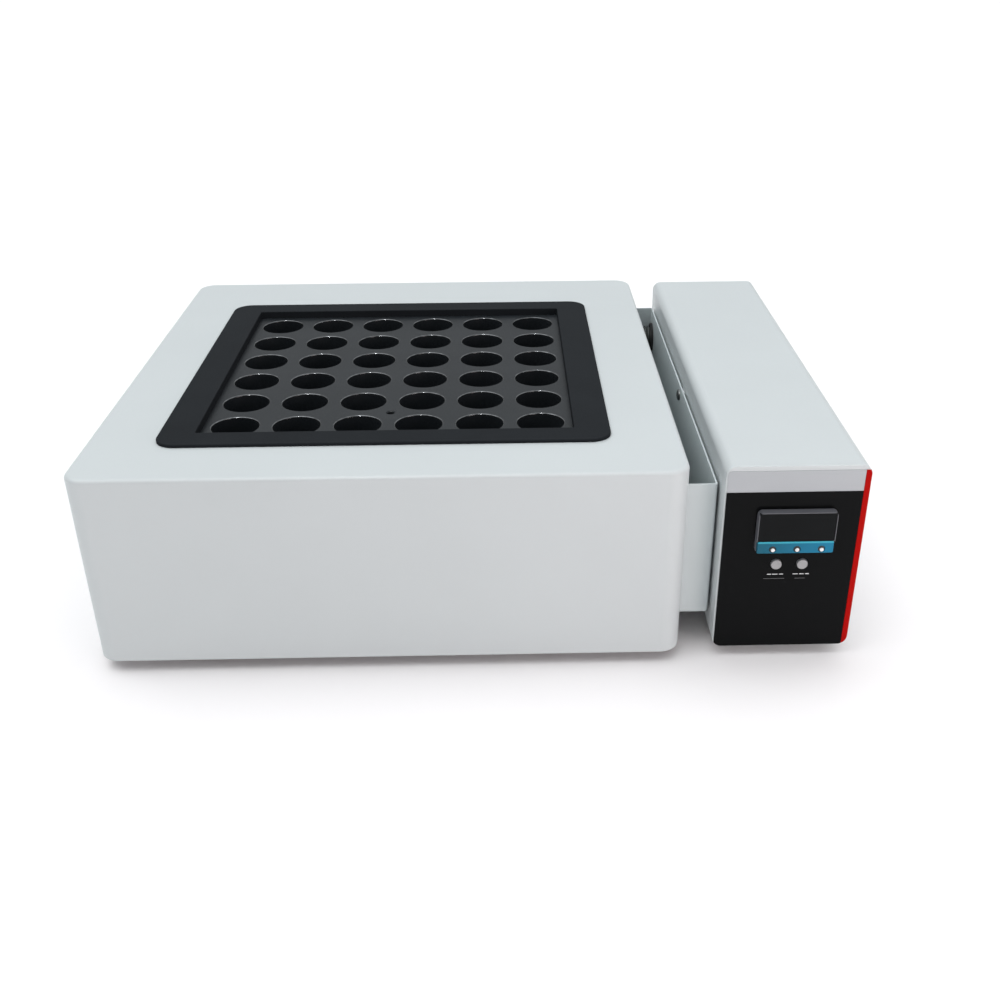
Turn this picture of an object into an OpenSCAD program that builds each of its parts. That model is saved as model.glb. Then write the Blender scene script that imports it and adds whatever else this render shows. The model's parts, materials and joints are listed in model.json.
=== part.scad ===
// Dry block heater: a 36-place heating unit joined by a sheet-metal bridge
// to a narrow controller box. Origin: middle of the footprint, on the bench.
// +X is to the right, +Y to the back, +Z up.

/* [Heater unit] */
// Width of the heater housing, left to right
body_w = 366; // [350:1:380]
// Depth of the heater housing, front to back
body_d = 382.5; // [376:0.5:400]
// Height of the housing above its feet
body_h = 125.8; // [124:0.1:130]
// Radius of the housing's upright corners
body_corner_r = 13; // [8:0.5:20]
// Radius of the housing's top edge
body_edge_r = 2.5; // [1.5:0.5:4]
// Thickness of the housing sheet
sheet = 1.5; // [1.2:0.1:2]
// Height of the rubber feet
foot_h = 8; // [7:0.5:12]
// How far the block sits forward of the housing's middle
block_forward = 10.75; // [0:0.25:14]

/* [Heating block] */
// Wells along each side of the block
well_rows = 6; // [6:1:6]
// Distance between neighbouring wells
well_pitch = 39; // [38:0.5:39]
// Radius of each well
well_r = 15; // [14:0.5:15.5]
// Depth of each well below the block's top
well_depth = 75; // [50:1:76]
// Side of the square block
block_side = 240; // [238:1:244]
// Height of the block
block_h = 88; // [86:1:90]
// Depth of the block's top below the top of its surround
block_recess = 5.3; // [4:0.1:6]
// Radius of the reference thermometer's well
thermometer_r = 2.5; // [2:0.25:3]

/* [Surround] */
// Outer width of the black surround
surround_w = 280.4; // [276:0.1:290]
// Outer depth of the black surround
surround_d = 273.6; // [270:0.1:280]
// Width of the surround's opening
surround_in_w = 235.4; // [234:0.1:236]
// Depth of the surround's opening
surround_in_d = 236.8; // [234:0.1:237]
// Radius of the surround's outer corners
surround_r = 13; // [6:1:20]
// Height of the surround above the housing
surround_t = 2.1; // [1.5:0.1:3]

/* [Controller] */
// Width of the controller box
ctrl_w = 86; // [84:1:92]
// Depth of the controller box
ctrl_d = 369; // [360:1:372]
// Height of the controller box
ctrl_h = 125.6; // [120:0.1:127]
// Radius of the controller's four long edges
ctrl_r = 6; // [4:0.5:8]
// Thickness of the front plate
front_t = 2.5; // [2:0.5:3]
// Thickness of the black front film
film_t = 0.8; // [0.5:0.1:1]
// Height of the pale band above the black film
band_h = 16.7; // [12:0.1:20]
// Width of the red strip
red_w = 3.6; // [2:0.1:5]

/* [Bridge] */
// Gap between the heater and the controller
bridge_gap = 21; // [20:0.5:24]
// Depth of the bridge channel, front to back
bridge_d = 340; // [330:1:345]
// Height of the channel
bridge_h = 91.5; // [85:0.5:92]
// Height of the channel's floor above the bench
bridge_z = 24.1; // [22:0.1:26]
// Thickness of the channel sheet
bridge_t = 1.2; // [1:0.1:1.5]
// Air left between the channel and the controller
bridge_air = 1.5; // [1:0.1:2]
// Outer radius of the wiring conduit
conduit_r = 8.5; // [8:0.5:9]

/* [Meter] */
// Width of the temperature meter's bezel
meter_w = 48; // [47:0.1:50]
// Height of the temperature meter's bezel
meter_h = 28.4; // [28:0.1:30]
// How far the bezel stands out of the front
meter_out = 4.8; // [4:0.1:5]
// Distance between neighbouring meter keys
key_pitch = 14.8; // [14:0.1:16]
// Radius of a meter key
key_r = 2; // [1.5:0.1:2.2]

/* [Push buttons] */
// Radius of a push button's cap
button_r = 3.5; // [3:0.25:4]
// Distance between the two push buttons
button_pitch = 16; // [14:0.1:17]

/* [Hidden] */

$fn = 48;
total_w = body_w + bridge_gap + ctrl_w;

// heater unit
heater_x = -total_w / 2 + body_w / 2;
body_top = foot_h + body_h;
block_y = -block_forward;
surround_top = body_top + surround_t;
block_top = surround_top - block_recess;
block_bottom = block_top - block_h;
rim_chamfer = 0.4;
function well_at(i) = (i - (well_rows - 1) / 2) * well_pitch;
well_floor = block_top - well_depth;
base_t = block_h - well_depth;
thermometer_y = -2 * well_pitch;
pan_top = foot_h + sheet;
flange_w = 12;
lip_t = 6;
plate_side = 200;
plate_t = 5;
pressure_t = 3;
plate_bottom = block_bottom - plate_t;
pressure_bottom = plate_bottom - pressure_t;
stud_r = 2.5;
stud_hole_r = 2.8;
stud_grip = 8;
thread_gap = 0.05;
stud_at = 2 * well_pitch;
nut_h = 4.5;
post_r = 7;
post_at = block_side / 2 - 10;
insulation_in = block_side / 2 + 1;
insulation_out = 158;
insulation_z = pressure_bottom - 3;
insulation_top = block_top - 0.6;
shield_t = 1;
slot_x = 165;
sensor_r = 2.4;
sensor_z = 64;
sensor_len = 60;
sensor_out = 40;
cutout_r = 8;
cutout_t = 9;

// controller
ctrl_x = total_w / 2 - ctrl_w / 2;
ctrl_left = total_w / 2 - ctrl_w;
ctrl_front = -body_d / 2 + 5.5;
ctrl_back = ctrl_front + ctrl_d;
ctrl_top = foot_h + ctrl_h;
film_top = ctrl_top - band_h;
plate_front = ctrl_front + film_t;
plate_back = plate_front + front_t;
rear_t = 2;
rear_front = ctrl_back - rear_t;
floor_z = foot_h + sheet;
chassis_top = floor_z + sheet;
chassis_w = ctrl_w - 2 * ctrl_r;
chassis_front_h = 42;
chassis_rear_h = 16;

// bridge
bridge_left = heater_x + body_w / 2;
bridge_right = ctrl_left - bridge_air;
bridge_y = -0.75;
bridge_front = bridge_y - bridge_d / 2;
conduit_y = 156;
conduit_z = 94;
bushing_r = 10.5;
bushing_hole_r = 10.8;
bushing_flange_r = 12;
bushing_t = 2;

// meter
meter_x = ctrl_x + 1.4;
meter_z = 91.4;
meter_front = ctrl_front - meter_out;
meter_body_w = 44.5;
meter_body_h = 26;
meter_body_d = 70;
bar_h = 7.8;
bar_z = meter_z - meter_h / 2 + 0.8;
bar_t = 3;
bar_front = meter_front - 0.1;
key_x = meter_x + 1.1;
key_z = bar_z + bar_h / 2 - 1.2;
key_out = 0.5;
key_flange_r = key_r + 0.5;
window_top = meter_z + meter_h / 2 - 1.5;
window_w = meter_w - 3;

// push buttons
button_x = ctrl_x;
button_z = 68;
button_out = 1.6;
switch_front = plate_back + 3;
switch_side = 12;
switch_d = 9.5;
board_y = switch_front + switch_d;
board_t = 1.6;

// rear
inlet_z = 50;
inlet_w = 31;
inlet_h = 50;
inlet_d = 26;
flange_t = 2;
socket_w = 24;
socket_h = 16.4;
socket_d = 18;
socket_z = inlet_z - 11;
drawer_w = 24;
drawer_h = 10;
drawer_d = 21;
drawer_z = inlet_z + 14;
rocker_z = 104;
rocker_w = 12.6;
rocker_h = 19;
rocker_tilt = 11;
rocker_axis_y = ctrl_back - 3;

clearance = 0.3;

heater_white = [0.90, 0.92, 0.92];
matt_black = [0.16, 0.17, 0.18];

// ---------- shared shapes ----------

// A rectangle with true arcs for corners, centred
module rounded_rect(w, d, r) {
    square([w - 2 * r, d], center = true);
    square([w, d - 2 * r], center = true);
    for (x = [-1, 1], y = [-1, 1])
        translate([x * (w / 2 - r), y * (d / 2 - r)]) circle(r = r);
}

module rounded_block(w, d, h, r) {
    linear_extrude(h) rounded_rect(w, d, r);
}

// A closed box with rounded uprights and a rolled top edge
module rolled_box(w, d, h, r, edge) {
    rounded_block(w, d, h - edge, r);
    rounded_block(w - 2 * edge, d - 2 * edge, h, r - edge);
    for (s = [-1, 1]) {
        translate([s * (w / 2 - edge), 0, h - edge])
            rotate([90, 0, 0]) cylinder(r = edge, h = d - 2 * r, center = true);
        translate([0, s * (d / 2 - edge), h - edge])
            rotate([0, 90, 0]) cylinder(r = edge, h = w - 2 * r, center = true);
    }
    for (x = [-1, 1], y = [-1, 1])
        translate([x * (w / 2 - r), y * (d / 2 - r), h - edge])
            rotate_extrude() translate([r - edge, 0]) circle(r = edge);
}

// An upright plate of the controller's outline: y0 is its front face
module ctrl_plate(y0, t, w = ctrl_w, h = ctrl_h, r = ctrl_r) {
    translate([ctrl_x, y0 + t, foot_h + ctrl_h / 2])
        rotate([90, 0, 0]) rounded_block(w, h, t, r);
}

// A cylinder along +Y from a point
module rod_y(x, y, z, r, len) {
    translate([x, y, z]) rotate([-90, 0, 0]) cylinder(r = r, h = len);
}

// A cylinder along +X from a point
module rod_x(x, y, z, r, len) {
    translate([x, y, z]) rotate([0, 90, 0]) cylinder(r = r, h = len);
}

// A box from its lowest corner
module box(x, y, z, w, d, h) {
    translate([x, y, z]) cube([w, d, h]);
}

// A round lead through a list of points, with a slightly fatter ball at each bend
module lead(points, r) {
    for (i = [0 : len(points) - 2]) {
        run = points[i + 1] - points[i];
        len_xy = norm([run.x, run.y]);
        translate(points[i])
            rotate([0, atan2(len_xy, run.z), atan2(run.y, run.x)])
                cylinder(r = r, h = norm(run), $fn = 24);
    }
    for (i = [1 : len(points) - 2])
        translate(points[i]) sphere(r = 1.08 * r, $fn = 24);
}

module at_block() {
    translate([heater_x, block_y, 0]) children();
}

module at_corners(x, y) {
    for (i = [-1, 1], j = [-1, 1]) translate([i * x, j * y, 0]) children();
}

// A pan-head screw pointing up, with its head's seat at z = 0
module screw_up(r, len) {
    translate([0, 0, -1.8]) cylinder(r = 2 * r, h = 1.8);
    cylinder(r = r, h = len);
}

// ---------- heater unit ----------

pan_screw_x = body_w / 2 - 9;
pan_screw_y = body_d / 2 - 9;
module at_pan_screws() {
    translate([heater_x, 0, 0]) {
        for (i = [-1, 1], j = [-0.62, 0, 0.62])
            translate([i * pan_screw_x, j * pan_screw_y, 0]) children();
        for (j = [-1, 1]) translate([0, j * pan_screw_y, 0]) children();
    }
}

// The four walls, folded from one sheet
module housing_wrap() {
    wall_h = body_h - body_edge_r;
    color(heater_white) difference() {
        translate([heater_x, 0, foot_h])
            rounded_block(body_w, body_d, wall_h, body_corner_r);
        translate([heater_x, 0, foot_h - 1])
            rounded_block(body_w - 2 * sheet, body_d - 2 * sheet, wall_h + 2,
                body_corner_r - sheet);
        rod_x(bridge_left - 5, conduit_y, conduit_z, bushing_hole_r, 10);
        for (p = bridge_screw_at) rod_x(bridge_left - 5, p.x, p.y, 2, 10);
    }
}

// The frame welded inside the walls that the base pan is screwed to
module bottom_flange() {
    color(heater_white) difference() {
        translate([heater_x, 0, pan_top])
            rounded_block(body_w - 2 * sheet, body_d - 2 * sheet, sheet,
                body_corner_r - sheet);
        translate([heater_x, 0, pan_top - 1])
            rounded_block(body_w - 2 * flange_w, body_d - 2 * flange_w,
                sheet + 2, 4);
        at_pan_screws() cylinder(r = 2, h = 20);
    }
}

// The top plate with its rolled edge, welded onto the walls
module housing_top() {
    color(heater_white) difference() {
        translate([heater_x, 0, foot_h])
            rolled_box(body_w, body_d, body_h, body_corner_r, body_edge_r);
        translate([heater_x, 0, foot_h - 1])
            linear_extrude(body_h - body_edge_r + 1)
                square([body_w + 2, body_d + 2], center = true);
        // the room under the plate, inside the rolled edge
        translate([heater_x, 0, body_top - body_edge_r - 1])
            rounded_block(body_w - 2 * sheet, body_d - 2 * sheet,
                body_edge_r - sheet + 1, body_corner_r - sheet);
        // the opening under the surround
        at_block() translate([0, 0, body_top - 5])
            linear_extrude(10) square([surround_in_w + 2 * lip_t + 1,
                surround_in_d + 2 * lip_t + 1], center = true);
    }
}

module base_pan() {
    color("silver") difference() {
        translate([heater_x, 0, foot_h])
            rounded_block(body_w - 2 * sheet, body_d - 2 * sheet, sheet,
                body_corner_r - sheet);
        at_pan_screws() cylinder(r = 2, h = 20);
        translate([heater_x, 0, 0])
            at_corners(heater_foot_x, heater_foot_y) cylinder(r = 2, h = 20);
        // cooling slots between the block and the walls
        for (s = [-1, 1], i = [-3 : 3])
            translate([heater_x + s * slot_x, i * 32, 0])
                linear_extrude(20) rounded_rect(3, 22, 1.4);
    }
}

module base_screws() {
    color("dimgray") at_pan_screws()
        translate([0, 0, foot_h]) screw_up(2, 2 * sheet + 3);
}

heater_foot_x = body_w / 2 - 38;
heater_foot_y = body_d / 2 - 42;
module foot(r) {
    difference() {
        cylinder(r1 = r - 1.5, r2 = r, h = foot_h);
        translate([0, 0, -1]) cylinder(r = 5, h = 5);
        cylinder(r = 2, h = 20);
    }
    // the screw that holds the foot, head inside the recess
    translate([0, 0, 2.2]) cylinder(r = 4, h = 1.8);
    translate([0, 0, 4]) cylinder(r = 2, h = foot_h - 4 + sheet);
}

module housing_feet() {
    color("#202020") translate([heater_x, 0, 0])
        at_corners(heater_foot_x, heater_foot_y) foot(15);
}

module top_surround() {
    color(matt_black) at_block() difference() {
        union() {
            translate([0, 0, body_top])
                rounded_block(surround_w, surround_d, surround_t, surround_r);
            translate([0, 0, block_top]) linear_extrude(body_top - block_top + 1)
                square([surround_in_w + 2 * lip_t, surround_in_d + 2 * lip_t],
                    center = true);
        }
        translate([0, 0, block_top - 1]) linear_extrude(20)
            square([surround_in_w, surround_in_d], center = true);
    }
}

// The wells run right through the block, and the base plate under it closes
// them
module heating_block() {
    color([0.33, 0.35, 0.36]) difference() {
        at_block() difference() {
            translate([-block_side / 2, -block_side / 2, well_floor])
                cube([block_side, block_side, well_depth]);
            for (i = [0 : well_rows - 1], j = [0 : well_rows - 1])
                translate([well_at(i), well_at(j), 0]) {
                    translate([0, 0, well_floor - 1])
                        cylinder(r = well_r, h = well_depth + 2);
                    translate([0, 0, block_top - rim_chamfer])
                        cylinder(r1 = well_r, r2 = well_r + rim_chamfer,
                            h = rim_chamfer);
                }
            translate([0, thermometer_y, well_floor - 1])
                cylinder(r = thermometer_r, h = well_depth + 2);
            translate([0, thermometer_y, block_top - rim_chamfer])
                cylinder(r1 = thermometer_r, r2 = thermometer_r + rim_chamfer,
                    h = rim_chamfer);
            at_corners(stud_at, stud_at) translate([0, 0, well_floor - 1])
                cylinder(r = stud_r + thread_gap, h = stud_grip + 1);
        }
        rod_x(heater_x + block_side / 2 - sensor_len, block_y, sensor_z,
            sensor_r, sensor_len + 1);
    }
}

module block_base() {
    color([0.33, 0.35, 0.36]) at_block() difference() {
        translate([-block_side / 2, -block_side / 2, block_bottom])
            cube([block_side, block_side, base_t]);
        at_corners(stud_at, stud_at) translate([0, 0, block_bottom - 1])
            cylinder(r = stud_hole_r, h = base_t + 2);
    }
}

module heating_plate() {
    color("tan") at_block() difference() {
        translate([-plate_side / 2, -plate_side / 2, plate_bottom])
            cube([plate_side, plate_side, plate_t]);
        at_corners(stud_at, stud_at) cylinder(r = stud_hole_r, h = 60);
    }
}

module pressure_plate() {
    color("silver") at_block() difference() {
        translate([-plate_side / 2, -plate_side / 2, pressure_bottom])
            cube([plate_side, plate_side, pressure_t]);
        at_corners(stud_at, stud_at) cylinder(r = stud_hole_r, h = 60);
    }
}

module plate_studs() {
    color("gray") at_block() at_corners(stud_at, stud_at) {
        translate([0, 0, pressure_bottom - nut_h - 1])
            cylinder(r = stud_r,
                h = nut_h + 1 + pressure_t + plate_t + base_t + stud_grip);
        translate([0, 0, pressure_bottom - nut_h])
            cylinder(r = 4.6, h = nut_h, $fn = 6);
    }
}

module block_posts() {
    color("ivory") at_block() at_corners(post_at, post_at)
        translate([0, 0, pan_top])
            cylinder(r = post_r, h = block_bottom - pan_top);
}

module bottom_insulation() {
    color("beige") at_block()
        translate([-plate_side / 2, -plate_side / 2, pan_top])
            cube([plate_side, plate_side, pressure_bottom - nut_h - 1.6 - pan_top]);
}

module side_insulation() {
    color("beige") difference() {
        at_block() translate([0, 0, insulation_z]) difference() {
            linear_extrude(insulation_top - insulation_z)
                square(2 * insulation_out, center = true);
            translate([0, 0, -1]) linear_extrude(200)
                square(2 * insulation_in, center = true);
        }
        // passages for the sensor and for the cut-out
        rod_x(heater_x + block_side / 2, block_y, sensor_z, 4, 60);
        rod_x(heater_x + block_side / 2, block_y + well_pitch, sensor_z,
            cutout_r + 1, 60);
    }
}

module heat_shield() {
    color("lightgray") difference() {
        at_block() translate([0, 0, pan_top]) difference() {
            linear_extrude(insulation_top - pan_top)
                square(2 * (insulation_out + shield_t), center = true);
            translate([0, 0, -1]) linear_extrude(200)
                square(2 * insulation_out, center = true);
        }
        rod_x(heater_x + block_side / 2, block_y, sensor_z, 4, 60);
        rod_x(heater_x + block_side / 2, block_y + well_pitch, sensor_z,
            cutout_r + 1, 60);
        // notch for the heater leads
        box(heater_x + insulation_out - 5, lead_y - 8, pan_top - 1, 12, 16, 19);
    }
}

module block_sensor() {
    color("silver") {
        rod_x(heater_x + block_side / 2 - sensor_len, block_y, sensor_z,
            sensor_r, sensor_len + sensor_out - 6);
        rod_x(heater_x + block_side / 2 + sensor_out - 6, block_y, sensor_z,
            3.2, 6);
    }
}

module overheat_cutout() {
    color("black") {
        rod_x(heater_x + block_side / 2, block_y + well_pitch, sensor_z,
            cutout_r, cutout_t);
        for (s = [-3, 3])
            rod_x(heater_x + block_side / 2 + cutout_t - 1,
                block_y + well_pitch + s, sensor_z, 1, 6);
    }
}

// leads run under the insulation, back along the shell and into the conduit
lead_y = block_y + 60;
lead_z = pan_top + 9;
aisle_x = bridge_left - 12;
wire_r = 3;
thin_r = 1.5;
pole_left_x = ctrl_left + sheet + 8;
pole_right_x = pole_left_x + 12;
pole_z = chassis_top + 8;
loop_z = chassis_top + 30;
module heater_leads() {
    y = conduit_y - 3;
    z = conduit_z - 2;
    color("white") lead([
        [heater_x + plate_side / 2 + 2, lead_y, lead_z],
        [aisle_x, lead_y, lead_z],
        [aisle_x, y, lead_z],
        [aisle_x, y, z],
        [pole_left_x, y, z],
        [pole_left_x, y, loop_z],
        [pole_left_x, pole_y(5), loop_z],
        [pole_left_x, pole_y(5), pole_z]
    ], wire_r);
}

// each sensor lead climbs in a lane of its own, beside the heater lead
sensor_lane_x = aisle_x - 8.5;
cutout_lane_x = aisle_x - 5;
module sensor_leads() {
    start = heater_x + block_side / 2;
    meter_back = ctrl_front + meter_body_d;
    cutout_y = block_y + well_pitch + 3;
    low_z = conduit_z - 2;
    high_z = conduit_z + 3.5;
    color("#3060a0") {
        lead([
            [start + sensor_out, block_y, sensor_z],
            [sensor_lane_x, block_y, sensor_z],
            [sensor_lane_x, block_y, low_z],
            [sensor_lane_x, conduit_y + 4, low_z],
            [meter_x - 16, conduit_y + 4, low_z],
            [meter_x - 16, meter_back, low_z]
        ], thin_r);
        lead([
            [start + cutout_t + 5, cutout_y, sensor_z],
            [cutout_lane_x, cutout_y, sensor_z],
            [cutout_lane_x, cutout_y, high_z],
            [cutout_lane_x, conduit_y, high_z],
            [meter_x - 8, conduit_y, high_z],
            [meter_x - 8, meter_back, high_z]
        ], thin_r);
    }
}

module earth_stud() {
    color("gold") translate([heater_x + 168, -120, pan_top]) {
        cylinder(r = 2.5, h = 14);
        translate([0, 0, 2]) cylinder(r = 4.6, h = 4, $fn = 6);
    }
}

// ---------- bridge ----------

// fixing places on the channel's two long walls, as [y, z]
bridge_screw_at = [[-10.75, 108.5], [-130, 45], [110, 45]];
bridge_head_t = 2;

module bridge_channel() {
    color([0.80, 0.84, 0.84]) difference() {
        box(bridge_left, bridge_front, bridge_z,
            bridge_right - bridge_left, bridge_d, bridge_h);
        box(bridge_left + bridge_t, bridge_front + bridge_t, bridge_z + bridge_t,
            bridge_right - bridge_left - 2 * bridge_t,
            bridge_d - 2 * bridge_t, bridge_h);
        rod_x(bridge_left - 1, conduit_y, conduit_z, bushing_hole_r, 40);
        for (p = bridge_screw_at) rod_x(bridge_left - 1, p.x, p.y, 2, 40);
    }
}

module bridge_screws() {
    inner_right = bridge_right - bridge_t;
    color("silver") for (p = bridge_screw_at) {
        rod_x(bridge_left + bridge_t, p.x, p.y, 4, bridge_head_t);
        rod_x(bridge_left - 5, p.x, p.y, 2, 5 + bridge_t);
        rod_x(inner_right - bridge_head_t, p.x, p.y, 4, bridge_head_t);
        rod_x(inner_right, p.x, p.y, 2, bridge_t + bridge_air + 5);
    }
}

module bridge_spacers() {
    color("silver") for (p = bridge_screw_at) difference() {
        rod_x(bridge_right, p.x, p.y, 5, bridge_air);
        rod_x(bridge_right - 1, p.x, p.y, 2, bridge_air + 2);
    }
}

// A rubber bushing through a wall; its flange sits on the channel's side
module bushing(x_flange, x_body, body_len) {
    color("#181818") difference() {
        union() {
            rod_x(x_flange, conduit_y, conduit_z, bushing_flange_r, bushing_t);
            rod_x(x_body, conduit_y, conduit_z, bushing_r, body_len);
        }
        rod_x(x_flange - 20, conduit_y, conduit_z, conduit_r, 50);
    }
}

module conduit_bushings() {
    bushing(bridge_left + bridge_t, bridge_left - sheet - 1,
        bridge_t + sheet + 1);
    bushing(bridge_right - bridge_t - bushing_t, bridge_right - bridge_t,
        bridge_t + bridge_air + sheet + 1);
}

module wiring_conduit() {
    conduit_left = bridge_left - sheet - 4;
    conduit_len = bridge_gap + 2 * sheet + 8;
    rib_pitch = 2.6;
    first_rib = bridge_left + bridge_t + bushing_t + 0.6;
    ribs = 5;
    color("#151515") difference() {
        union() {
            rod_x(conduit_left, conduit_y, conduit_z, conduit_r, conduit_len);
            for (i = [0 : ribs - 1])
                rod_x(first_rib + i * rib_pitch, conduit_y, conduit_z,
                    conduit_r + 0.8, 1.2);
        }
        rod_x(conduit_left - 1, conduit_y, conduit_z, conduit_r - 1.3,
            conduit_len + 2);
    }
}

// ---------- controller ----------

ctrl_foot_x = ctrl_w / 2 - 16;
ctrl_foot_y = ctrl_d / 2 - 32;
ctrl_mid_y = ctrl_front + ctrl_d / 2;

module at_ctrl_feet() {
    translate([ctrl_x, ctrl_mid_y, 0])
        at_corners(ctrl_foot_x, ctrl_foot_y) children();
}

module controller_sleeve() {
    sleeve_d = rear_front - plate_back;
    color(heater_white) difference() {
        ctrl_plate(plate_back, sleeve_d);
        ctrl_plate(plate_back - 1, sleeve_d + 2, ctrl_w - 2 * sheet,
            ctrl_h - 2 * sheet, ctrl_r - sheet);
        at_ctrl_feet() cylinder(r = 2, h = 20);
        rod_x(ctrl_left - 2, conduit_y, conduit_z, bushing_hole_r, 5);
        for (p = bridge_screw_at) rod_x(ctrl_left - 2, p.x, p.y, 2, 5);
    }
}

module chassis() {
    x0 = ctrl_x - chassis_w / 2;
    color("silver") difference() {
        union() {
            box(x0, plate_back, floor_z, chassis_w, rear_front - plate_back,
                sheet);
            box(x0, plate_back, floor_z, chassis_w, sheet, chassis_front_h);
            box(x0, rear_front - sheet, floor_z, chassis_w, sheet,
                chassis_rear_h);
        }
        at_ctrl_feet() cylinder(r = 2, h = 20);
        for (s = [-1, 1]) {
            rod_y(ctrl_x + s * rear_screw_x, rear_front - 5, rear_screw_z, 1.5, 9);
            rod_y(ctrl_x + s * rear_screw_x, plate_back - 1, front_screw_z,
                1.5, 9);
        }
    }
}

front_screw_z = 40;
module chassis_screws() {
    // countersunk heads lie behind the black film
    color("gray") for (s = [-1, 1]) {
        rod_y(ctrl_x + s * rear_screw_x, plate_front, front_screw_z, 1.5,
            front_t + sheet + 3);
    }
}

module controller_feet() {
    color("#202020") at_ctrl_feet() foot(10);
}

module panel_cutouts(extra) {
    box(meter_x - meter_body_w / 2 - extra, plate_front - 1,
        meter_z - meter_body_h / 2 - extra, meter_body_w + 2 * extra,
        front_t + 2, meter_body_h + 2 * extra);
    for (s = [-1, 1])
        rod_y(button_x + s * button_pitch / 2, plate_front - 1, button_z,
            button_r + clearance, front_t + 2);
}

module front_plate() {
    color([0.80, 0.81, 0.83]) difference() {
        ctrl_plate(plate_front, front_t);
        panel_cutouts(0);
        for (s = [-1, 1])
            rod_y(ctrl_x + s * rear_screw_x, plate_front - 1, front_screw_z,
                1.5, front_t + 2);
    }
}

module front_film() {
    inset = 1;
    color("#101112") difference() {
        intersection() {
            ctrl_plate(ctrl_front, film_t);
            box(ctrl_left + inset, ctrl_front - 1, 0,
                ctrl_w - inset - red_w, film_t + 2, film_top);
        }
        translate([0, ctrl_front - plate_front, 0]) panel_cutouts(0);
    }
}

module red_strip() {
    color("#b01010") intersection() {
        ctrl_plate(ctrl_front, film_t);
        box(ctrl_left + ctrl_w - red_w, ctrl_front - 1, 0, red_w, film_t + 2,
            ctrl_top - 3);
    }
}

// ---------- meter ----------

module key_holes(r, y, len) {
    for (i = [-1 : 1]) rod_y(key_x + i * key_pitch, y, key_z, r, len);
}

module meter_case() {
    color("#3a3c40") difference() {
        union() {
            // bevelled bezel, narrower at its face
            hull() {
                translate([meter_x, ctrl_front, meter_z]) rotate([90, 0, 0])
                    rounded_block(meter_w, meter_h, 0.6, 3);
                translate([meter_x, ctrl_front, meter_z]) rotate([90, 0, 0])
                    rounded_block(meter_w - 1.6, meter_h - 1.4, meter_out, 2);
            }
            box(meter_x - meter_body_w / 2, ctrl_front,
                meter_z - meter_body_h / 2, meter_body_w, meter_body_d,
                meter_body_h);
        }
        // the room for the display and board
        box(meter_x - meter_body_w / 2 + 1.5, ctrl_front + 0.5,
            meter_z - meter_body_h / 2 + 1.5, meter_body_w - 3,
            meter_body_d + 1, meter_body_h - 3);
        // seat of the window
        box(meter_x - window_w / 2, meter_front - 1, bar_z + bar_h,
            window_w, 3, window_top - bar_z - bar_h);
        // display opening behind the window
        box(meter_x - 17, meter_front, bar_z + bar_h + 2.5, 34, 10, 12);
        // seat of the key bar, and the wells behind its keys
        box(meter_x - meter_w / 2, meter_front - 1, bar_z - 1, meter_w,
            bar_t + 0.9, bar_h + 1);
        key_holes(key_flange_r + 0.3, meter_front, bar_t + 1.6);
    }
}

module meter_window() {
    color("black") box(meter_x - window_w / 2, meter_front + 0.3, bar_z + bar_h,
        window_w, 1.7, window_top - bar_z - bar_h);
}

module meter_bar() {
    bar_w = meter_w - 1.8;
    color("#127090") difference() {
        box(meter_x - bar_w / 2, bar_front, bar_z, bar_w, bar_t, bar_h);
        key_holes(key_r + 0.15, bar_front - 1, bar_t + 2);
    }
}

module meter_display() {
    // two rows of dark digit blocks on a carrier
    color("#202428") {
        box(meter_x - 16, meter_front + 3, bar_z + bar_h + 3.5, 32, 3, 10);
        box(meter_x - 18, meter_front + 6, bar_z + bar_h + 2, 36, 1.2, 12);
    }
}

module meter_board() {
    color("#1d6b3a") box(meter_x - 19, ctrl_front + 4, meter_z - 0.8, 38,
        meter_body_d - 6, 1.6);
}

module meter_clamp() {
    // sliding frame that pulls the bezel against the panel
    frame_t = 2.5;
    color("#303030") difference() {
        box(meter_x - meter_body_w / 2 - frame_t, plate_back,
            meter_z - meter_body_h / 2 - frame_t, meter_body_w + 2 * frame_t,
            14, meter_body_h + 2 * frame_t);
        box(meter_x - meter_body_w / 2, plate_back - 1,
            meter_z - meter_body_h / 2, meter_body_w, 16, meter_body_h);
    }
}

module meter_key(x) {
    stem = bar_t + key_out + 0.2;
    color("#e8e8e8") {
        rod_y(x, bar_front - key_out, key_z, key_r, stem);
        rod_y(x, bar_front - key_out + stem, key_z, key_flange_r, 0.6);
    }
}

module meter_key_left() {
    meter_key(key_x - key_pitch);
}

module meter_key_middle() {
    meter_key(key_x);
}

module meter_key_right() {
    meter_key(key_x + key_pitch);
}

// ---------- push buttons ----------

module push_button(x) {
    cap_len = button_out + film_t + front_t + clearance;
    color("#9a9a9a") {
        rod_y(x, ctrl_front - button_out, button_z, button_r, cap_len);
        rod_y(x, plate_back + clearance, button_z, button_r + 1, 1);
        rod_y(x, plate_back + clearance + 1, button_z, 1.5, 3);
    }
}

module button_left() {
    push_button(button_x - button_pitch / 2);
}

module button_right() {
    push_button(button_x + button_pitch / 2);
}

module button_switches() {
    color("#28282a") for (s = [-1, 1]) {
        x = button_x + s * button_pitch / 2;
        difference() {
            box(x - switch_side / 2, switch_front, button_z - switch_side / 2,
                switch_side, switch_d, switch_side);
            rod_y(x, switch_front - 1, button_z, 1.8, 4.5);
        }
    }
}

module button_board() {
    color("#1d6b3a") difference() {
        box(button_x - 23, board_y, button_z - 7.5, 46, board_t, 15);
        for (s = [-1, 1])
            rod_y(button_x + s * 20, board_y - 1, button_z, 1.25, board_t + 2);
    }
}

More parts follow.
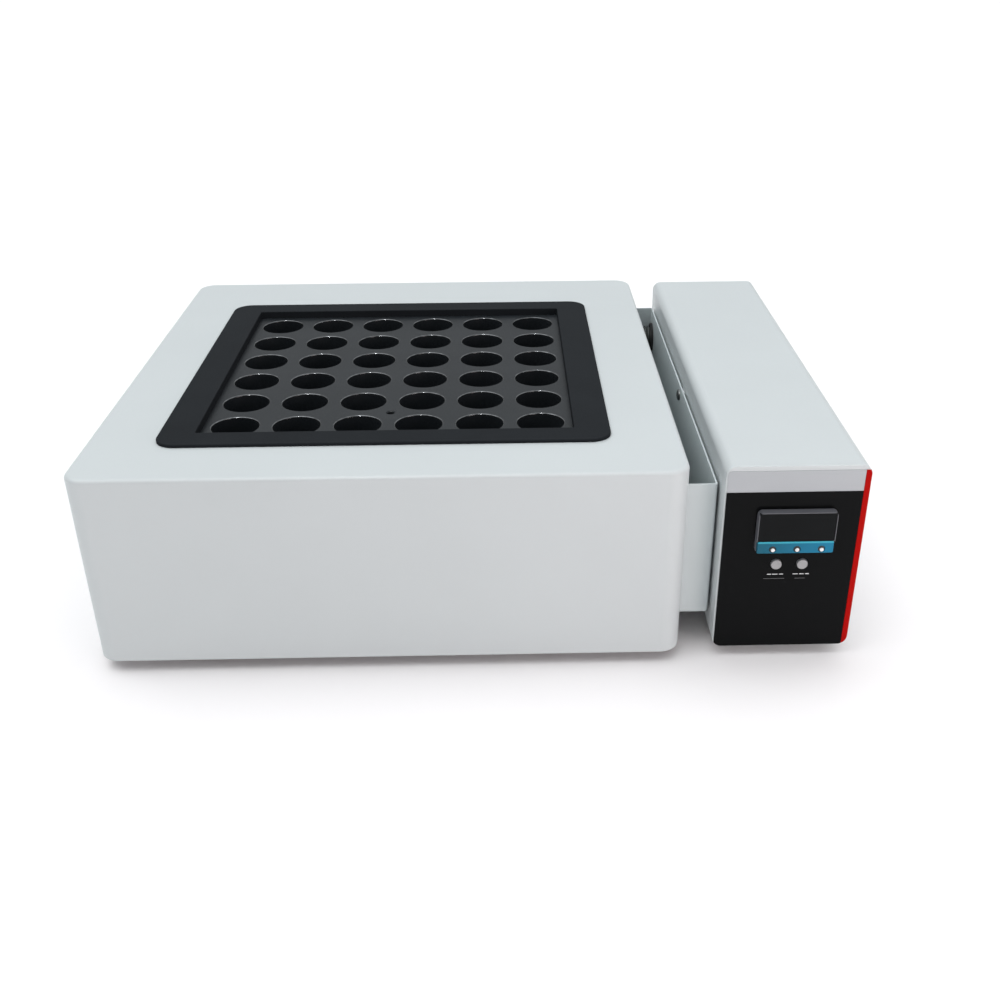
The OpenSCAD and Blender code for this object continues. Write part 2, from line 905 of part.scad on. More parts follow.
module board_posts() {
    color("silver") for (s = [-1, 1]) {
        rod_y(button_x + s * 20, plate_back, button_z, 2.5,
            board_y - plate_back);
        rod_y(button_x + s * 20, board_y, button_z, 1.25, board_t + 2);
    }
}

// ---------- power electronics ----------

sink_x = ctrl_x + 10;
sink_y = -70;
sink_len = 100;
sink_h = 70;
sink_base = 5;
fin_t = 2;
fin_depth = 20;
fins = 9;
module heatsink() {
    gap = (sink_len - fin_t) / (fins - 1);
    color("gray") {
        box(sink_x, sink_y, chassis_top, sink_base, sink_len, sink_h);
        for (i = [0 : fins - 1])
            box(sink_x + sink_base, sink_y + i * gap, chassis_top, fin_depth,
                fin_t, sink_h);
    }
}

relay_t = 23;
module solid_state_relay() {
    y = sink_y + sink_len / 2 - 22.5;
    z = chassis_top + 6;
    color("#e0e0dc") {
        box(sink_x - relay_t, y, z, relay_t, 45, 58);
        for (i = [-1, 1], j = [-1, 1])
            rod_x(sink_x - relay_t - 2, y + 22.5 + i * 12, z + 29 + j * 22, 4, 2);
    }
}

module safety_relay() {
    color("#304050") {
        box(ctrl_x - 8, 48, chassis_top, 36, 50, 42);
        box(ctrl_x - 4, 52, chassis_top + 42, 28, 42, 6);
    }
}

terminal_y = 60;
poles = 6;
pole = 12;
function pole_y(i) = terminal_y + (i + 0.5) * pole;
module terminal_block() {
    x = ctrl_left + sheet + 3;
    terminal_d = poles * pole;
    color("#d8d8d0") difference() {
        union() {
            box(x, terminal_y, chassis_top, 22, terminal_d, 14);
            // barriers between the poles
            for (i = [1 : poles - 1])
                box(x, terminal_y + i * pole - 0.75, chassis_top, 22, 1.5, 20);
        }
        for (i = [0 : poles - 1], px = [pole_left_x, pole_right_x])
            translate([px, pole_y(i), chassis_top + 6]) cylinder(r = 3.2, h = 20);
    }
}

module controller_wiring() {
    relay_z = chassis_top + 57;
    relay_y = sink_y + sink_len / 2 + 12;
    inlet_back = ctrl_back - inlet_d;
    color("#804020") {
        lead([
            [pole_right_x, pole_y(0), pole_z],
            [pole_right_x, pole_y(0), relay_z],
            [pole_right_x, relay_y, relay_z],
            [sink_x - relay_t - 2, relay_y, relay_z]
        ], thin_r);
        lead([
            [ctrl_x - 6, inlet_back, inlet_z - 6],
            [ctrl_x - 6, inlet_back - 12, inlet_z - 6],
            [pole_right_x, inlet_back - 12, inlet_z - 6],
            [pole_right_x, pole_y(5), inlet_z - 6],
            [pole_right_x, pole_y(5), pole_z]
        ], thin_r);
        lead([
            [ctrl_x + 6, inlet_back, inlet_z + 10],
            [ctrl_x + 6, inlet_back - 7, inlet_z + 10],
            [ctrl_x + 6, inlet_back - 7, rocker_z - 6],
            [ctrl_x, inlet_back - 7, rocker_z - 6],
            [ctrl_x, ctrl_back - 22, rocker_z - 6]
        ], thin_r);
    }
}

// ---------- rear ----------

rear_screw_x = ctrl_w / 2 - 9;
rear_screw_z = foot_h + 12;
module rear_panel() {
    color(heater_white) difference() {
        ctrl_plate(rear_front, rear_t);
        box(ctrl_x - inlet_w / 2 + 2, rear_front - 1, inlet_z - inlet_h / 2 + 2,
            inlet_w - 4, rear_t + 2, inlet_h - 4);
        box(ctrl_x - rocker_w / 2 - 1, rear_front - 1,
            rocker_z - rocker_h / 2 - 1, rocker_w + 2, rear_t + 2,
            rocker_h + 2);
        // cooling slots on both sides of the inlet
        for (s = [-1, 1], i = [0 : 10])
            translate([ctrl_x + s * 29, rear_front - 1, 40 + i * 7])
                rotate([-90, 0, 0]) linear_extrude(rear_t + 2)
                    rounded_rect(14, 3, 1.4);
        for (s = [-1, 1])
            rod_y(ctrl_x + s * rear_screw_x, rear_front - 1, rear_screw_z, 1.5,
                rear_t + 2);
    }
}

module rear_screws() {
    color("gray") for (s = [-1, 1]) {
        x = ctrl_x + s * rear_screw_x;
        rod_y(x, ctrl_back, rear_screw_z, 3, 1.8);
        rod_y(x, rear_front - 5, rear_screw_z, 1.5, rear_t + 5);
    }
}

module power_inlet() {
    drawer_room = drawer_d + 1;
    color("#1a1a1a") difference() {
        union() {
            translate([ctrl_x, ctrl_back + flange_t, inlet_z])
                rotate([90, 0, 0]) rounded_block(inlet_w, inlet_h, flange_t, 3);
            box(ctrl_x - inlet_w / 2 + 2, ctrl_back - inlet_d,
                inlet_z - inlet_h / 2 + 2, inlet_w - 4, inlet_d, inlet_h - 4);
        }
        box(ctrl_x - socket_w / 2, ctrl_back + flange_t - socket_d,
            socket_z - socket_h / 2, socket_w, socket_d + 1, socket_h);
        box(ctrl_x - drawer_w / 2 - clearance,
            ctrl_back + flange_t - drawer_room,
            drawer_z - drawer_h / 2 - clearance, drawer_w + 2 * clearance,
            drawer_room + 1, drawer_h + 2 * clearance);
    }
}

pin_w = 2;
pin_h = 4;
pin_len = 15;
module inlet_pins() {
    y = ctrl_back + flange_t - socket_d;
    color("silver") {
        for (p = [[-7, -2], [7, -2], [0, 2]]) {
            box(ctrl_x + p.x - pin_w / 2, y, socket_z + p.y - pin_h / 2, pin_w,
                pin_len, pin_h);
        }
    }
}

module fuse_drawer() {
    y = ctrl_back + flange_t;
    color("#242424") difference() {
        union() {
            box(ctrl_x - drawer_w / 2, y - drawer_d, drawer_z - drawer_h / 2,
                drawer_w, drawer_d, drawer_h);
            // finger lip
            box(ctrl_x - 5, y, drawer_z - drawer_h / 2, 10, 1.6, 2);
        }
        for (s = [-1, 1])
            translate([ctrl_x + s * 6 - 3, y - drawer_d + 1.5, drawer_z - 2.7])
                cube([6, drawer_d - 4, drawer_h]);
    }
}

fuse_len = drawer_d - 4;
module fuses() {
    y = ctrl_back + flange_t - drawer_d + 1.5;
    color("white") for (s = [-1, 1])
        rod_y(ctrl_x + s * 6, y, drawer_z - 0.1, 2.6, fuse_len);
}

module switch_frame() {
    wall = 1.2;
    color("#1a1a1a") difference() {
        union() {
            translate([ctrl_x, ctrl_back + flange_t, rocker_z])
                rotate([90, 0, 0])
                    rounded_block(rocker_w + 4.4, rocker_h + 4.4, flange_t, 1.5);
            box(ctrl_x - rocker_w / 2 - 1, ctrl_back - 16,
                rocker_z - rocker_h / 2 - 1, rocker_w + 2, 16, rocker_h + 2);
        }
        box(ctrl_x - rocker_w / 2 - 0.2, ctrl_back - 16 + wall,
            rocker_z - rocker_h / 2 - 0.4, rocker_w + 0.4, 30, rocker_h + 0.8);
    }
    // terminals
    color("silver") for (z = [-6, 0, 6])
        box(ctrl_x - 0.4, ctrl_back - 22, rocker_z + z - 2.4, 0.8, 6.2, 4.8);
}

module power_rocker() {
    // a round back that turns in the frame, under two faces at a shallow angle
    back_r = 6;
    half = rocker_h / 2 - 1.2;
    rise = half * tan(rocker_tilt);
    face_y = ctrl_back + flange_t + 0.4 - rocker_axis_y;
    color("#c81818") translate([ctrl_x - rocker_w / 2, rocker_axis_y, rocker_z])
        rotate([-rocker_tilt, 0, 0]) rotate([90, 0, 90])
            linear_extrude(rocker_w) {
                circle(r = back_r);
                polygon([[0, -half], [face_y + rise - 1, -half],
                    [face_y - 1, 0], [face_y + rise - 1, half], [0, half]]);
            }
}

housing_wrap();
housing_top();
bottom_flange();
base_pan();
base_screws();
housing_feet();
top_surround();
heating_block();
block_base();
heating_plate();
pressure_plate();
plate_studs();
block_posts();
bottom_insulation();
side_insulation();
heat_shield();
block_sensor();
overheat_cutout();
heater_leads();
sensor_leads();
earth_stud();
bridge_channel();
bridge_screws();
bridge_spacers();
conduit_bushings();
wiring_conduit();
controller_sleeve();
chassis();
chassis_screws();
controller_feet();
front_plate();
front_film();
red_strip();
meter_case();
meter_window();
meter_bar();
meter_display();
meter_board();
meter_clamp();
meter_key_left();
meter_key_middle();
meter_key_right();
button_left();
button_right();
button_switches();
button_board();
board_posts();
heatsink();
solid_state_relay();
safety_relay();
terminal_block();
controller_wiring();
rear_panel();
rear_screws();
power_inlet();
inlet_pins();
fuse_drawer();
fuses();
switch_frame();
power_rocker();
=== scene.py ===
"""The looks of the dry block heater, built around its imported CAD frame.

Lengths are in millimetres, in the frame's own axes, until a vertex is made. The
lights and the camera are placed in metres.
"""

import json
import math

import bmesh
import bpy
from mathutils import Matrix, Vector


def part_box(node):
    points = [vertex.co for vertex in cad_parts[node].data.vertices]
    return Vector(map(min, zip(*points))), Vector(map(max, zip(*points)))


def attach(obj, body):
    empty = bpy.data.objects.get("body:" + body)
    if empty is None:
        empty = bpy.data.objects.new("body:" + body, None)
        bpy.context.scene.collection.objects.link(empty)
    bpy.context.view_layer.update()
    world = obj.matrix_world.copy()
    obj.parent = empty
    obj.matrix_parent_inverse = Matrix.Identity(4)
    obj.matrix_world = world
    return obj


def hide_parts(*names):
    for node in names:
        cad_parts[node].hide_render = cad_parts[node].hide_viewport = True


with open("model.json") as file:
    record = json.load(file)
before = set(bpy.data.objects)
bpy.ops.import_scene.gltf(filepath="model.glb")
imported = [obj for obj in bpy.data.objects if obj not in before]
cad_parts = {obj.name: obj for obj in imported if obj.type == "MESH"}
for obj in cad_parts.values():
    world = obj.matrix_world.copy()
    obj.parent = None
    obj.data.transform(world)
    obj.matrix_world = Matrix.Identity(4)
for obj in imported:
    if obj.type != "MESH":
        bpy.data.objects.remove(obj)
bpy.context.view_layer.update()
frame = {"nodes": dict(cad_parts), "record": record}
MM = 0.001

# ---------------- sizes


def span(node, axis):
    """Start and end of a CAD node along an axis, to a hundredth of a millimetre."""
    low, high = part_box(node)
    k = "xyz".index(axis)
    return round(low[k] / MM, 2), round(high[k] / MM, 2)


def extent(node, axis):
    """Middle and length of a CAD node along an axis."""
    start, end = span(node, axis)
    return (start + end) / 2, end - start


# heating unit: housing and feet
HEATER_X, BODY_W = extent("housing_wrap", "x")
BODY_D = extent("housing_wrap", "y")[1]
FOOT_H = span("housing_wrap", "z")[0]
BODY_TOP = span("housing_top", "z")[1]
WALL_X = span("housing_wrap", "x")[1]
SHEET, CORNER_R, EDGE_R, FLANGE = 1.5, 13.0, 2.5, 12.0
HEATER_FOOT_R, HEATER_FEET_X, HEATER_FEET_Y = 15.0, 145.0, 149.25

# block
BLOCK_Y, BLOCK_SIDE = extent("heating_block", "y")
WELL_FLOOR, BLOCK_TOP = span("heating_block", "z")
BLOCK_LOW = span("block_base", "z")[0]
WELLS, PITCH, WELL_R, RIM, FILLET = 6, 39.0, 15.0, 0.7, 2.0
THERMO_Y, THERMO_R = -2 * PITCH, 2.5
STUD_AT, STUD_R, STUD_HOLE_R, STUD_GRIP = 2 * PITCH, 2.55, 2.8, 8.0
SENSOR_Z, SENSOR_R, SENSOR_DEPTH = 64.0, 2.45, 60.0

# black surround; its lip goes down through the housing's mouth
RING_W, RING_D = extent("top_surround", "x")[1], extent("top_surround", "y")[1]
RING_TOP = span("top_surround", "z")[1]
RING_IN_W, RING_IN_D, RING_R = 235.4, 236.8, 13.0
LIP, MOUTH_GAP = 6.0, 0.5

# controller
CTRL_X, CTRL_W = extent("controller_sleeve", "x")
CTRL_MID_Z, CTRL_H = extent("controller_sleeve", "z")
CTRL_LEFT, CTRL_RIGHT = span("controller_sleeve", "x")
CTRL_TOP = span("controller_sleeve", "z")[1]
CTRL_R = 6.0
CTRL_FOOT_R, CTRL_FEET_X, CTRL_FEET_Y, CTRL_FEET_MID = 10.0, 27.0, 152.5, -1.25

# its front and back: the planes of each layer, and the edges of the coverings
SLEEVE_Y, REAR_IN = span("controller_sleeve", "y")
FILM_Y, PLATE_Y = span("front_film", "y")
REAR_OUT = span("rear_panel", "y")[1]
FILM_LEFT, FILM_TOP = span("front_film", "x")[0], span("front_film", "z")[1]
RED_LEFT, STRIP_TOP = span("red_strip", "x")[0], span("red_strip", "z")[1]
PALE_T = 0.5
ARC_LEFT, ARC_RIGHT = CTRL_LEFT + CTRL_R, CTRL_RIGHT - CTRL_R
ARC_LOW, ARC_HIGH = FOOT_H + CTRL_R, CTRL_TOP - CTRL_R
RED_FROM = 360 - math.degrees(math.acos((RED_LEFT - ARC_RIGHT) / CTRL_R))
PLATE_SCREW_X, PLATE_SCREW_R = 34.0, 1.5
FRONT_SCREW_Z, REAR_SCREW_Z = 40.0, 20.0

# bridge: the screws are (y, z) places, the same in both walls
BRIDGE_RIGHT = span("bridge_channel", "x")[1]
BRIDGE_Z, BRIDGE_TOP = span("bridge_channel", "z")
BRIDGE_Y, BRIDGE_D = extent("bridge_channel", "y")
BRIDGE_T = 1.2
BRIDGE_SCREWS = ((-10.75, 108.5), (-130.0, 45.0), (110.0, 45.0))
BRIDGE_HOLE_R = 2.0
TUBE_Y, TUBE_Z = extent("wiring_conduit", "y")[0], extent("wiring_conduit", "z")[0]
TUBE_R, BUSH_R, BUSH_HOLE_R, BUSH_FLANGE_R, BUSH_T = 8.5, 10.5, 10.8, 12.0, 2.0

# panel meter
METER_X, METER_W = extent("meter_case", "x")
METER_Z, METER_H = extent("meter_case", "z")
METER_Y = span("meter_case", "y")[0]
METER_HOLE_W, METER_HOLE_H = 44.5, 26.0
CASE_INSET, CASE_WALL, CASE_BACK = 1.9, 1.5, -116.0
BAR_LOW, BAR_TOP = span("meter_bar", "z")
BAR_Y, BAR_BACK = span("meter_bar", "y")
BAR_W = extent("meter_bar", "x")[1]
WINDOW_TOP, WINDOW_W = 104.9, 46.4
DISPLAY_W, DISPLAY_H, DISPLAY_UP = 34.0, 12.0, 2.5
KEY_PITCH, KEY_Z, KEY_R = 14.8, 80.7, 2.0
KEYS_X = [extent("meter_key_middle", "x")[0] + k * KEY_PITCH for k in (-1, 0, 1)]

# push buttons
BUTTONS_X, BUTTON_Z, BUTTON_R, BUTTON_OUT = (185.5, 201.5), 68.0, 3.3, 1.6

# rear panel, mains inlet, fuse drawer and rocker
VENTS, VENT_X, VENT_Z, VENT_PITCH, VENT_W, VENT_H = 11, 29.0, 40.0, 7.0, 14.0, 3.0
INLET_BACK, INLET_FACE = span("power_inlet", "y")
INLET_Z, INLET_H = extent("power_inlet", "z")
INLET_W = extent("power_inlet", "x")[1]
SOCKET_Z, SOCKET_W, SOCKET_H, SOCKET_DEPTH, SOCKET_CUT = 39.0, 24.0, 16.4, 18.0, 4.0
DRAWER_Z, DRAWER_H = extent("fuse_drawer", "z")
DRAWER_W = extent("fuse_drawer", "x")[1]
DRAWER_BACK = span("fuse_drawer", "y")[0]
FUSE_X, FUSE_Y, FUSE_LENGTH = 6.0, DRAWER_BACK + 1.5, 17.0
SWITCH_Z, SWITCH_H = extent("switch_frame", "z")
SWITCH_W = extent("switch_frame", "x")[1]
ROCKER_AXIS, ROCKER_TILT = 180.25, math.radians(11)
ROCKER_W, ROCKER_HALF, ROCKER_BACK_R = 12.6, 8.3, 6.0
BROW, DIP = 5.95, 4.4

# how far a cutter runs past the material
REACH = 5.0

# ---------------- outlines


def rounded(cx, cy, w, d, r, seg=8):
    """A rounded rectangle, anticlockwise."""
    out = []
    for q, (sx, sy) in enumerate(((1, 1), (-1, 1), (-1, -1), (1, -1))):
        for k in range(seg + 1):
            a = math.pi / 2 * (q + k / seg)
            x = cx + sx * (w / 2 - r) + r * math.cos(a)
            out.append((x, cy + sy * (d / 2 - r) + r * math.sin(a)))
    return out


def circle(cx, cy, r, seg=48):
    """A round outline, anticlockwise."""
    turns = [2 * math.pi / seg * k for k in range(seg)]
    return [(cx + r * math.cos(a), cy + r * math.sin(a)) for a in turns]


def arc(cx, cy, r, a0, a1, seg=8):
    """Points of an arc from angle a0 to a1, in degrees."""
    turns = [math.radians(a0 + (a1 - a0) * k / seg) for k in range(seg + 1)]
    return [(cx + r * math.cos(a), cy + r * math.sin(a)) for a in turns]


def quarter(steps):
    """Angles from nothing to a right angle, in radians."""
    return [math.pi / 2 * k / steps for k in range(steps + 1)]


def hole(loop):
    """The same outline as the edge of a hole: material on its left."""
    return loop[::-1]


def inset(loop, e):
    """The outline moved by e into the material on its left."""
    if not e:
        return list(loop)
    out = []
    for i, (x, y) in enumerate(loop):
        before, after = loop[i - 1], loop[(i + 1) % len(loop)]
        one = Vector((x - before[0], y - before[1])).normalized()
        two = Vector((after[0] - x, after[1] - y)).normalized()
        side = Vector((-one.y - two.y, one.x + two.x))
        k = e / (1 + one.dot(two))
        out.append((x + side.x * k, y + side.y * k))
    return out


def soft(h0, h1, r0, r1, steps=4):
    """(inset, height) steps of a wall from h0 to h1 with its two edges rounded."""
    s = 1 if h1 > h0 else -1
    turns = quarter(steps)
    start = [(r0 * (1 - math.sin(a)), h0 + s * r0 * (1 - math.cos(a))) for a in turns]
    end = [(r1 * (1 - math.cos(a)), h1 - s * r1 * (1 - math.sin(a))) for a in turns]
    return (start if r0 else [(0, h0)]) + (end if r1 else [(0, h1)])


# ---------------- meshes


def upright(cx=0.0, cy=0.0):
    """Outlines lie level; heights run up."""
    return lambda u, v, h: Vector((cx + u, cy + v, h)) * MM


def facing(cx=0.0, cz=0.0):
    """Outlines stand in the XZ plane; heights run along Y."""
    return lambda u, v, h: Vector((cx + u, h, cz + v)) * MM


def sideways(cy=0.0, cz=0.0):
    """Outlines stand in the YZ plane; heights run along X."""
    return lambda u, v, h: Vector((h, cy + u, cz + v)) * MM


def ring(bm, loop, h, place):
    """An outline's vertices at one height."""
    return [bm.verts.new(place(u, v, h)) for u, v in loop]


def band(bm, low, high, mat=0):
    """Faces between two rings of the same count; a ring of one vertex is a tip."""
    n = max(len(low), len(high))
    for i in range(n):
        j = (i + 1) % n
        if len(low) == 1:
            corners = (low[0], high[j], high[i])
        elif len(high) == 1:
            corners = (low[i], low[j], high[0])
        else:
            corners = (low[i], low[j], high[j], high[i])
        bm.faces.new(corners).material_index = mat


def cap(bm, rings, mat=0):
    """Fills the flat area between closed rings."""
    if len(rings) == 1:
        bm.faces.new(rings[0]).material_index = mat
        return
    edges = []
    for r in rings:
        for i, v in enumerate(r):
            pair = (v, r[i - 1])
            edges.append(bm.edges.get(pair) or bm.edges.new(pair))
    made = bmesh.ops.triangle_fill(bm, use_beauty=True, edges=edges)
    for g in made["geom"]:
        if isinstance(g, bmesh.types.BMFace):
            g.material_index = mat


def shell(bm, loop, profile, place):
    """One outline carried through the profile's (inset, height) steps, open at its ends."""
    rows = [ring(bm, inset(loop, e), h, place) for e, h in profile]
    for low, high in zip(rows, rows[1:]):
        band(bm, low, high)
    return rows


def add_solid(bm, loops, profile, place, mat=0):
    """A closed solid: outlines carried through a profile, and capped at both ends."""
    rows = [[ring(bm, inset(lp, e), h, place) for lp in loops] for e, h in profile]
    for low, high in zip(rows, rows[1:]):
        for a, b in zip(low, high):
            band(bm, a, b, mat)
    cap(bm, rows[0], mat)
    cap(bm, rows[-1], mat)


def add_lathe(bm, profile, place, seg=48, closed=False, mats=None):
    """A turned shape from (radius, height) points; closed joins its last to its first."""
    loops = [circle(0, 0, r, seg) if r else [(0, 0)] for r, h in profile]
    rows = [ring(bm, loop, h, place) for loop, (r, h) in zip(loops, profile)]
    if closed:
        rows.append(rows[0])
    for k, (low, high) in enumerate(zip(rows, rows[1:])):
        band(bm, low, high, mats[k] if mats else 0)


def to_object(name, bm):
    """Makes the mesh an object in the scene."""
    bmesh.ops.recalc_face_normals(bm, faces=bm.faces)
    mesh = bpy.data.meshes.new(name)
    bm.to_mesh(mesh)
    bm.free()
    made = bpy.data.objects.new(name, mesh)
    bpy.context.scene.collection.objects.link(made)
    return made


def applied(made):
    """Turns an object's modifiers into mesh."""
    graph = bpy.context.evaluated_depsgraph_get()
    old = made.data
    made.data = bpy.data.meshes.new_from_object(made.evaluated_get(graph))
    made.modifiers.clear()
    bpy.data.meshes.remove(old)


def carve(made, cutter):
    """Takes the shapes of a second mesh out of the first."""
    tool = to_object("cutter", cutter)
    cut = made.modifiers.new("cut", "BOOLEAN")
    cut.operation, cut.solver, cut.object = "DIFFERENCE", "EXACT", tool
    applied(made)
    old = tool.data
    bpy.data.objects.remove(tool)
    bpy.data.meshes.remove(old)


def reopened(made):
    """A carved object's mesh, open again so that more can be added to it."""
    bm = bmesh.new()
    bm.from_mesh(made.data)
    bpy.data.objects.remove(made)
    return bm


def soften(made, width, segments=2):
    """Rounds every sharp edge."""
    edge = made.modifiers.new("edge", "BEVEL")
    edge.width, edge.segments = width * MM, segments
    edge.limit_method, edge.angle_limit = "ANGLE", math.radians(40)
    applied(made)


def piece(made, materials, nodes="", body="root", slot=None):
    """Finishes a piece: its materials, its shading, its body and the nodes it stands for.

    Materials and nodes are names with spaces between them. A slot is worked out, from
    the first material unless another is given, but it is not used.
    """
    mesh, names = made.data, materials.split()
    for name in names:
        mesh.materials.append(M[name])
    mesh.shade_smooth()
    mesh.set_sharp_from_angle(angle=math.radians(38))
    even = made.modifiers.new("even", "WEIGHTED_NORMAL")
    even.keep_sharp, even.weight = True, 80
    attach(made, body)
    if nodes:
        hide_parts(*nodes.split())
        slot = slot or names[0]


# ---------------- materials

# every material, by its name
M = {}


class Graph:
    """Short names for building a material's nodes."""

    def __init__(self, name):
        self.material = M[name] = bpy.data.materials.new(name)
        self.material.use_nodes = True
        self.tree = self.material.node_tree
        self.shader = self.tree.nodes["Principled BSDF"]
        self.place = self.node("ShaderNodeTexCoord").outputs["Object"]

    def node(self, kind, **values):
        made = self.tree.nodes.new(kind)
        for key, value in values.items():
            setattr(made, key, value)
        return made

    def link(self, a, b):
        self.tree.links.new(a, b)

    def stretched(self, scale):
        """The object's own coordinates, in metres, times a scale along each axis."""
        m = self.node("ShaderNodeMapping")
        m.inputs["Scale"].default_value = scale
        self.link(self.place, m.inputs["Vector"])
        return m.outputs["Vector"]

    def noise(self, scale, detail=3.0, stretch=(1, 1, 1), roughness=0.5):
        n = self.node("ShaderNodeTexNoise")
        n.inputs["Scale"].default_value = scale
        n.inputs["Detail"].default_value = detail
        n.inputs["Roughness"].default_value = roughness
        self.link(self.stretched(stretch), n.inputs["Vector"])
        return n.outputs["Fac"]

    def cells(self, scale):
        n = self.node("ShaderNodeTexVoronoi")
        n.inputs["Scale"].default_value = scale
        self.link(self.place, n.inputs["Vector"])
        return n.outputs["Distance"]

    def spread(self, fac, low, high, start=0.3, end=0.7):
        """A factor's range from start to end, made to run from low to high."""
        r = self.node("ShaderNodeMapRange")
        r.inputs["From Min"].default_value, r.inputs["From Max"].default_value = start, end
        r.inputs["To Min"].default_value, r.inputs["To Max"].default_value = low, high
        self.link(fac, r.inputs["Value"])
        return r.outputs["Result"]

    def blend(self, fac, a, b):
        m = self.node("ShaderNodeMix", data_type="RGBA")
        self.link(fac, m.inputs["Factor"])
        for value, socket in ((a, m.inputs[6]), (b, m.inputs[7])):
            if isinstance(value, tuple):
                socket.default_value = (*value, 1.0)
            else:
                self.link(value, socket)
        return m.outputs[2]

    def relief(self, fac, height, under=None):
        """Bumps up to a height in millimetres, on top of others where under is given."""
        b = self.node("ShaderNodeBump")
        b.inputs["Strength"].default_value = 1.0
        b.inputs["Distance"].default_value = height * MM
        self.link(fac, b.inputs["Height"])
        if under:
            self.link(under, b.inputs["Normal"])
        return b.outputs["Normal"]

    def set(self, **values):
        """Gives the shader's inputs values or links, and returns the material."""
        for key, value in values.items():
            title = key.replace("_", " ").title().replace("Ior", "IOR")
            socket = self.shader.inputs[title]
            if isinstance(value, bpy.types.NodeSocket):
                self.link(value, socket)
            else:
                socket.default_value = (*value, 1) if isinstance(value, tuple) else value
        return self.material


def shade(colour, k):
    """A colour made lighter or darker."""
    return tuple(min(max(c * k, 0.0), 1.0) for c in colour)


def finish_of(
    name, colour, rough, metal=0.0, tint=0.03, patch=14.0, grain=700.0, height=0.01,
    wander=0.05, stretch=(1, 1, 1), coat=0.0, coat_rough=0.08, specks=0.0,
    speck_scale=1500.0, specular=0.5,
):
    """A surface with slow colour drift, fine grain in roughness and relief, and specks."""
    g = Graph(name)
    drift = g.spread(g.noise(patch, 4.0), 0.0, 1.0)
    base = g.blend(drift, shade(colour, 1 - tint), shade(colour, 1 + tint))
    if specks:
        dots = g.spread(g.cells(speck_scale), 1.0, 0.0, 0.05, 0.22)
        base = g.blend(dots, base, shade(colour, 1 + specks))
    fine = g.noise(grain, 3.0, stretch)
    return g.set(
        base_color=base,
        roughness=g.spread(fine, max(rough - wander, 0.02), rough + wander),
        normal=g.relief(fine, height),
        metallic=metal,
        coat_weight=coat,
        coat_roughness=coat_rough,
        specular_ior_level=specular,
    )


def brushed(name, colour, rough, along=0, **more):
    """Metal with fine lines along one axis."""
    stretch = [14.0, 14.0, 14.0]
    stretch[along] = 0.25
    return finish_of(
        name, colour, rough, metal=1.0, grain=160.0, stretch=tuple(stretch), **more
    )


def teal_bar():
    """Metallic lacquer that turns from green on the left to blue on the right, with a painted
    highlight along its top edge.
    """
    g = Graph("teal_keybar")
    split = g.node("ShaderNodeSeparateXYZ")
    g.link(g.place, split.inputs["Vector"])
    left, right = (METER_X - BAR_W / 2) * MM, (METER_X + BAR_W / 2) * MM
    across = g.spread(split.outputs["X"], 0.0, 1.0, left, right)
    hue = g.blend(across, (0.001, 0.094, 0.148), (0.001, 0.178, 0.32))
    flakes = g.spread(g.cells(3500.0), 0.25, 0.0, 0.1, 0.35)
    # painted highlight: the top 1.3 mm of the bar blends to a light teal, as if lit from above
    low, high = (BAR_TOP - 1.3) * MM, (BAR_TOP - 0.2) * MM
    painted_top_highlight = g.spread(split.outputs["Z"], 0.0, 1.0, low, high)
    bar = g.blend(flakes, hue, (0.02, 0.24, 0.38))
    return g.set(
        base_color=g.blend(painted_top_highlight, bar, (0.05, 0.44, 0.56)),
        roughness=g.spread(g.noise(900.0), 0.28, 0.36),
        normal=g.relief(g.noise(1300.0), 0.003),
        metallic=0.1,
        specular_ior_level=0.25,
        coat_weight=0.1,
        coat_roughness=0.06,
    )


def fibre():
    """Matted ceramic wool."""
    g = Graph("ceramic_fibre")
    strands = g.noise(260.0, 6.0, (1, 5, 5), 0.7)
    tufts = g.cells(90.0)
    return g.set(
        base_color=g.blend(
            g.spread(strands, 0.0, 1.0), (0.62, 0.59, 0.50), (0.86, 0.84, 0.77)
        ),
        roughness=g.spread(tufts, 0.88, 0.98),
        normal=g.relief(strands, 0.4, under=g.relief(tufts, 0.6)),
        sheen_weight=0.2,
    )


def board():
    """Solder mask over a grid of tracks and pads."""
    g = Graph("circuit_board")
    tracks = g.node("ShaderNodeTexBrick")
    tracks.inputs["Scale"].default_value = 260.0
    tracks.inputs["Mortar Size"].default_value = 0.035
    tracks.inputs["Color1"].default_value = (0.010, 0.115, 0.045, 1)
    tracks.inputs["Color2"].default_value = (0.012, 0.135, 0.055, 1)
    tracks.inputs["Mortar"].default_value = (0.030, 0.230, 0.090, 1)
    g.link(g.place, tracks.inputs["Vector"])
    pads = g.spread(g.cells(330.0), 1.0, 0.0, 0.10, 0.16)
    return g.set(
        base_color=g.blend(pads, tracks.outputs["Color"], (0.55, 0.48, 0.30)),
        roughness=g.spread(g.noise(500.0), 0.25, 0.4),
        normal=g.relief(pads, 0.04),
    )


def coated_block():
    """Dark fluoropolymer on machined metal: fine speckle, faint milling arcs, satin."""
    g = Graph("block_coating")
    cloud = g.spread(g.noise(22.0, 5.0), 0.0, 1.0)
    base = g.blend(cloud, (0.0105, 0.0130, 0.0155), (0.0150, 0.0180, 0.0210))
    dots = g.spread(g.cells(2200.0), 1.0, 0.0, 0.04, 0.20)
    base = g.blend(dots, base, (0.05, 0.055, 0.06))
    rings = g.node("ShaderNodeTexWave", wave_type="RINGS", rings_direction="Z")
    rings.inputs["Scale"].default_value = 240.0
    rings.inputs["Distortion"].default_value = 1.5
    rings.inputs["Detail"].default_value = 2.0
    g.link(g.place, rings.inputs["Vector"])
    fine = g.noise(1400.0)
    return g.set(
        base_color=base,
        roughness=g.spread(fine, 0.40, 0.52),
        normal=g.relief(fine, 0.012, under=g.relief(rings.outputs["Fac"], 0.003)),
        specular_ior_level=0.23,
    )


ENAMEL = (0.562, 0.594, 0.600)

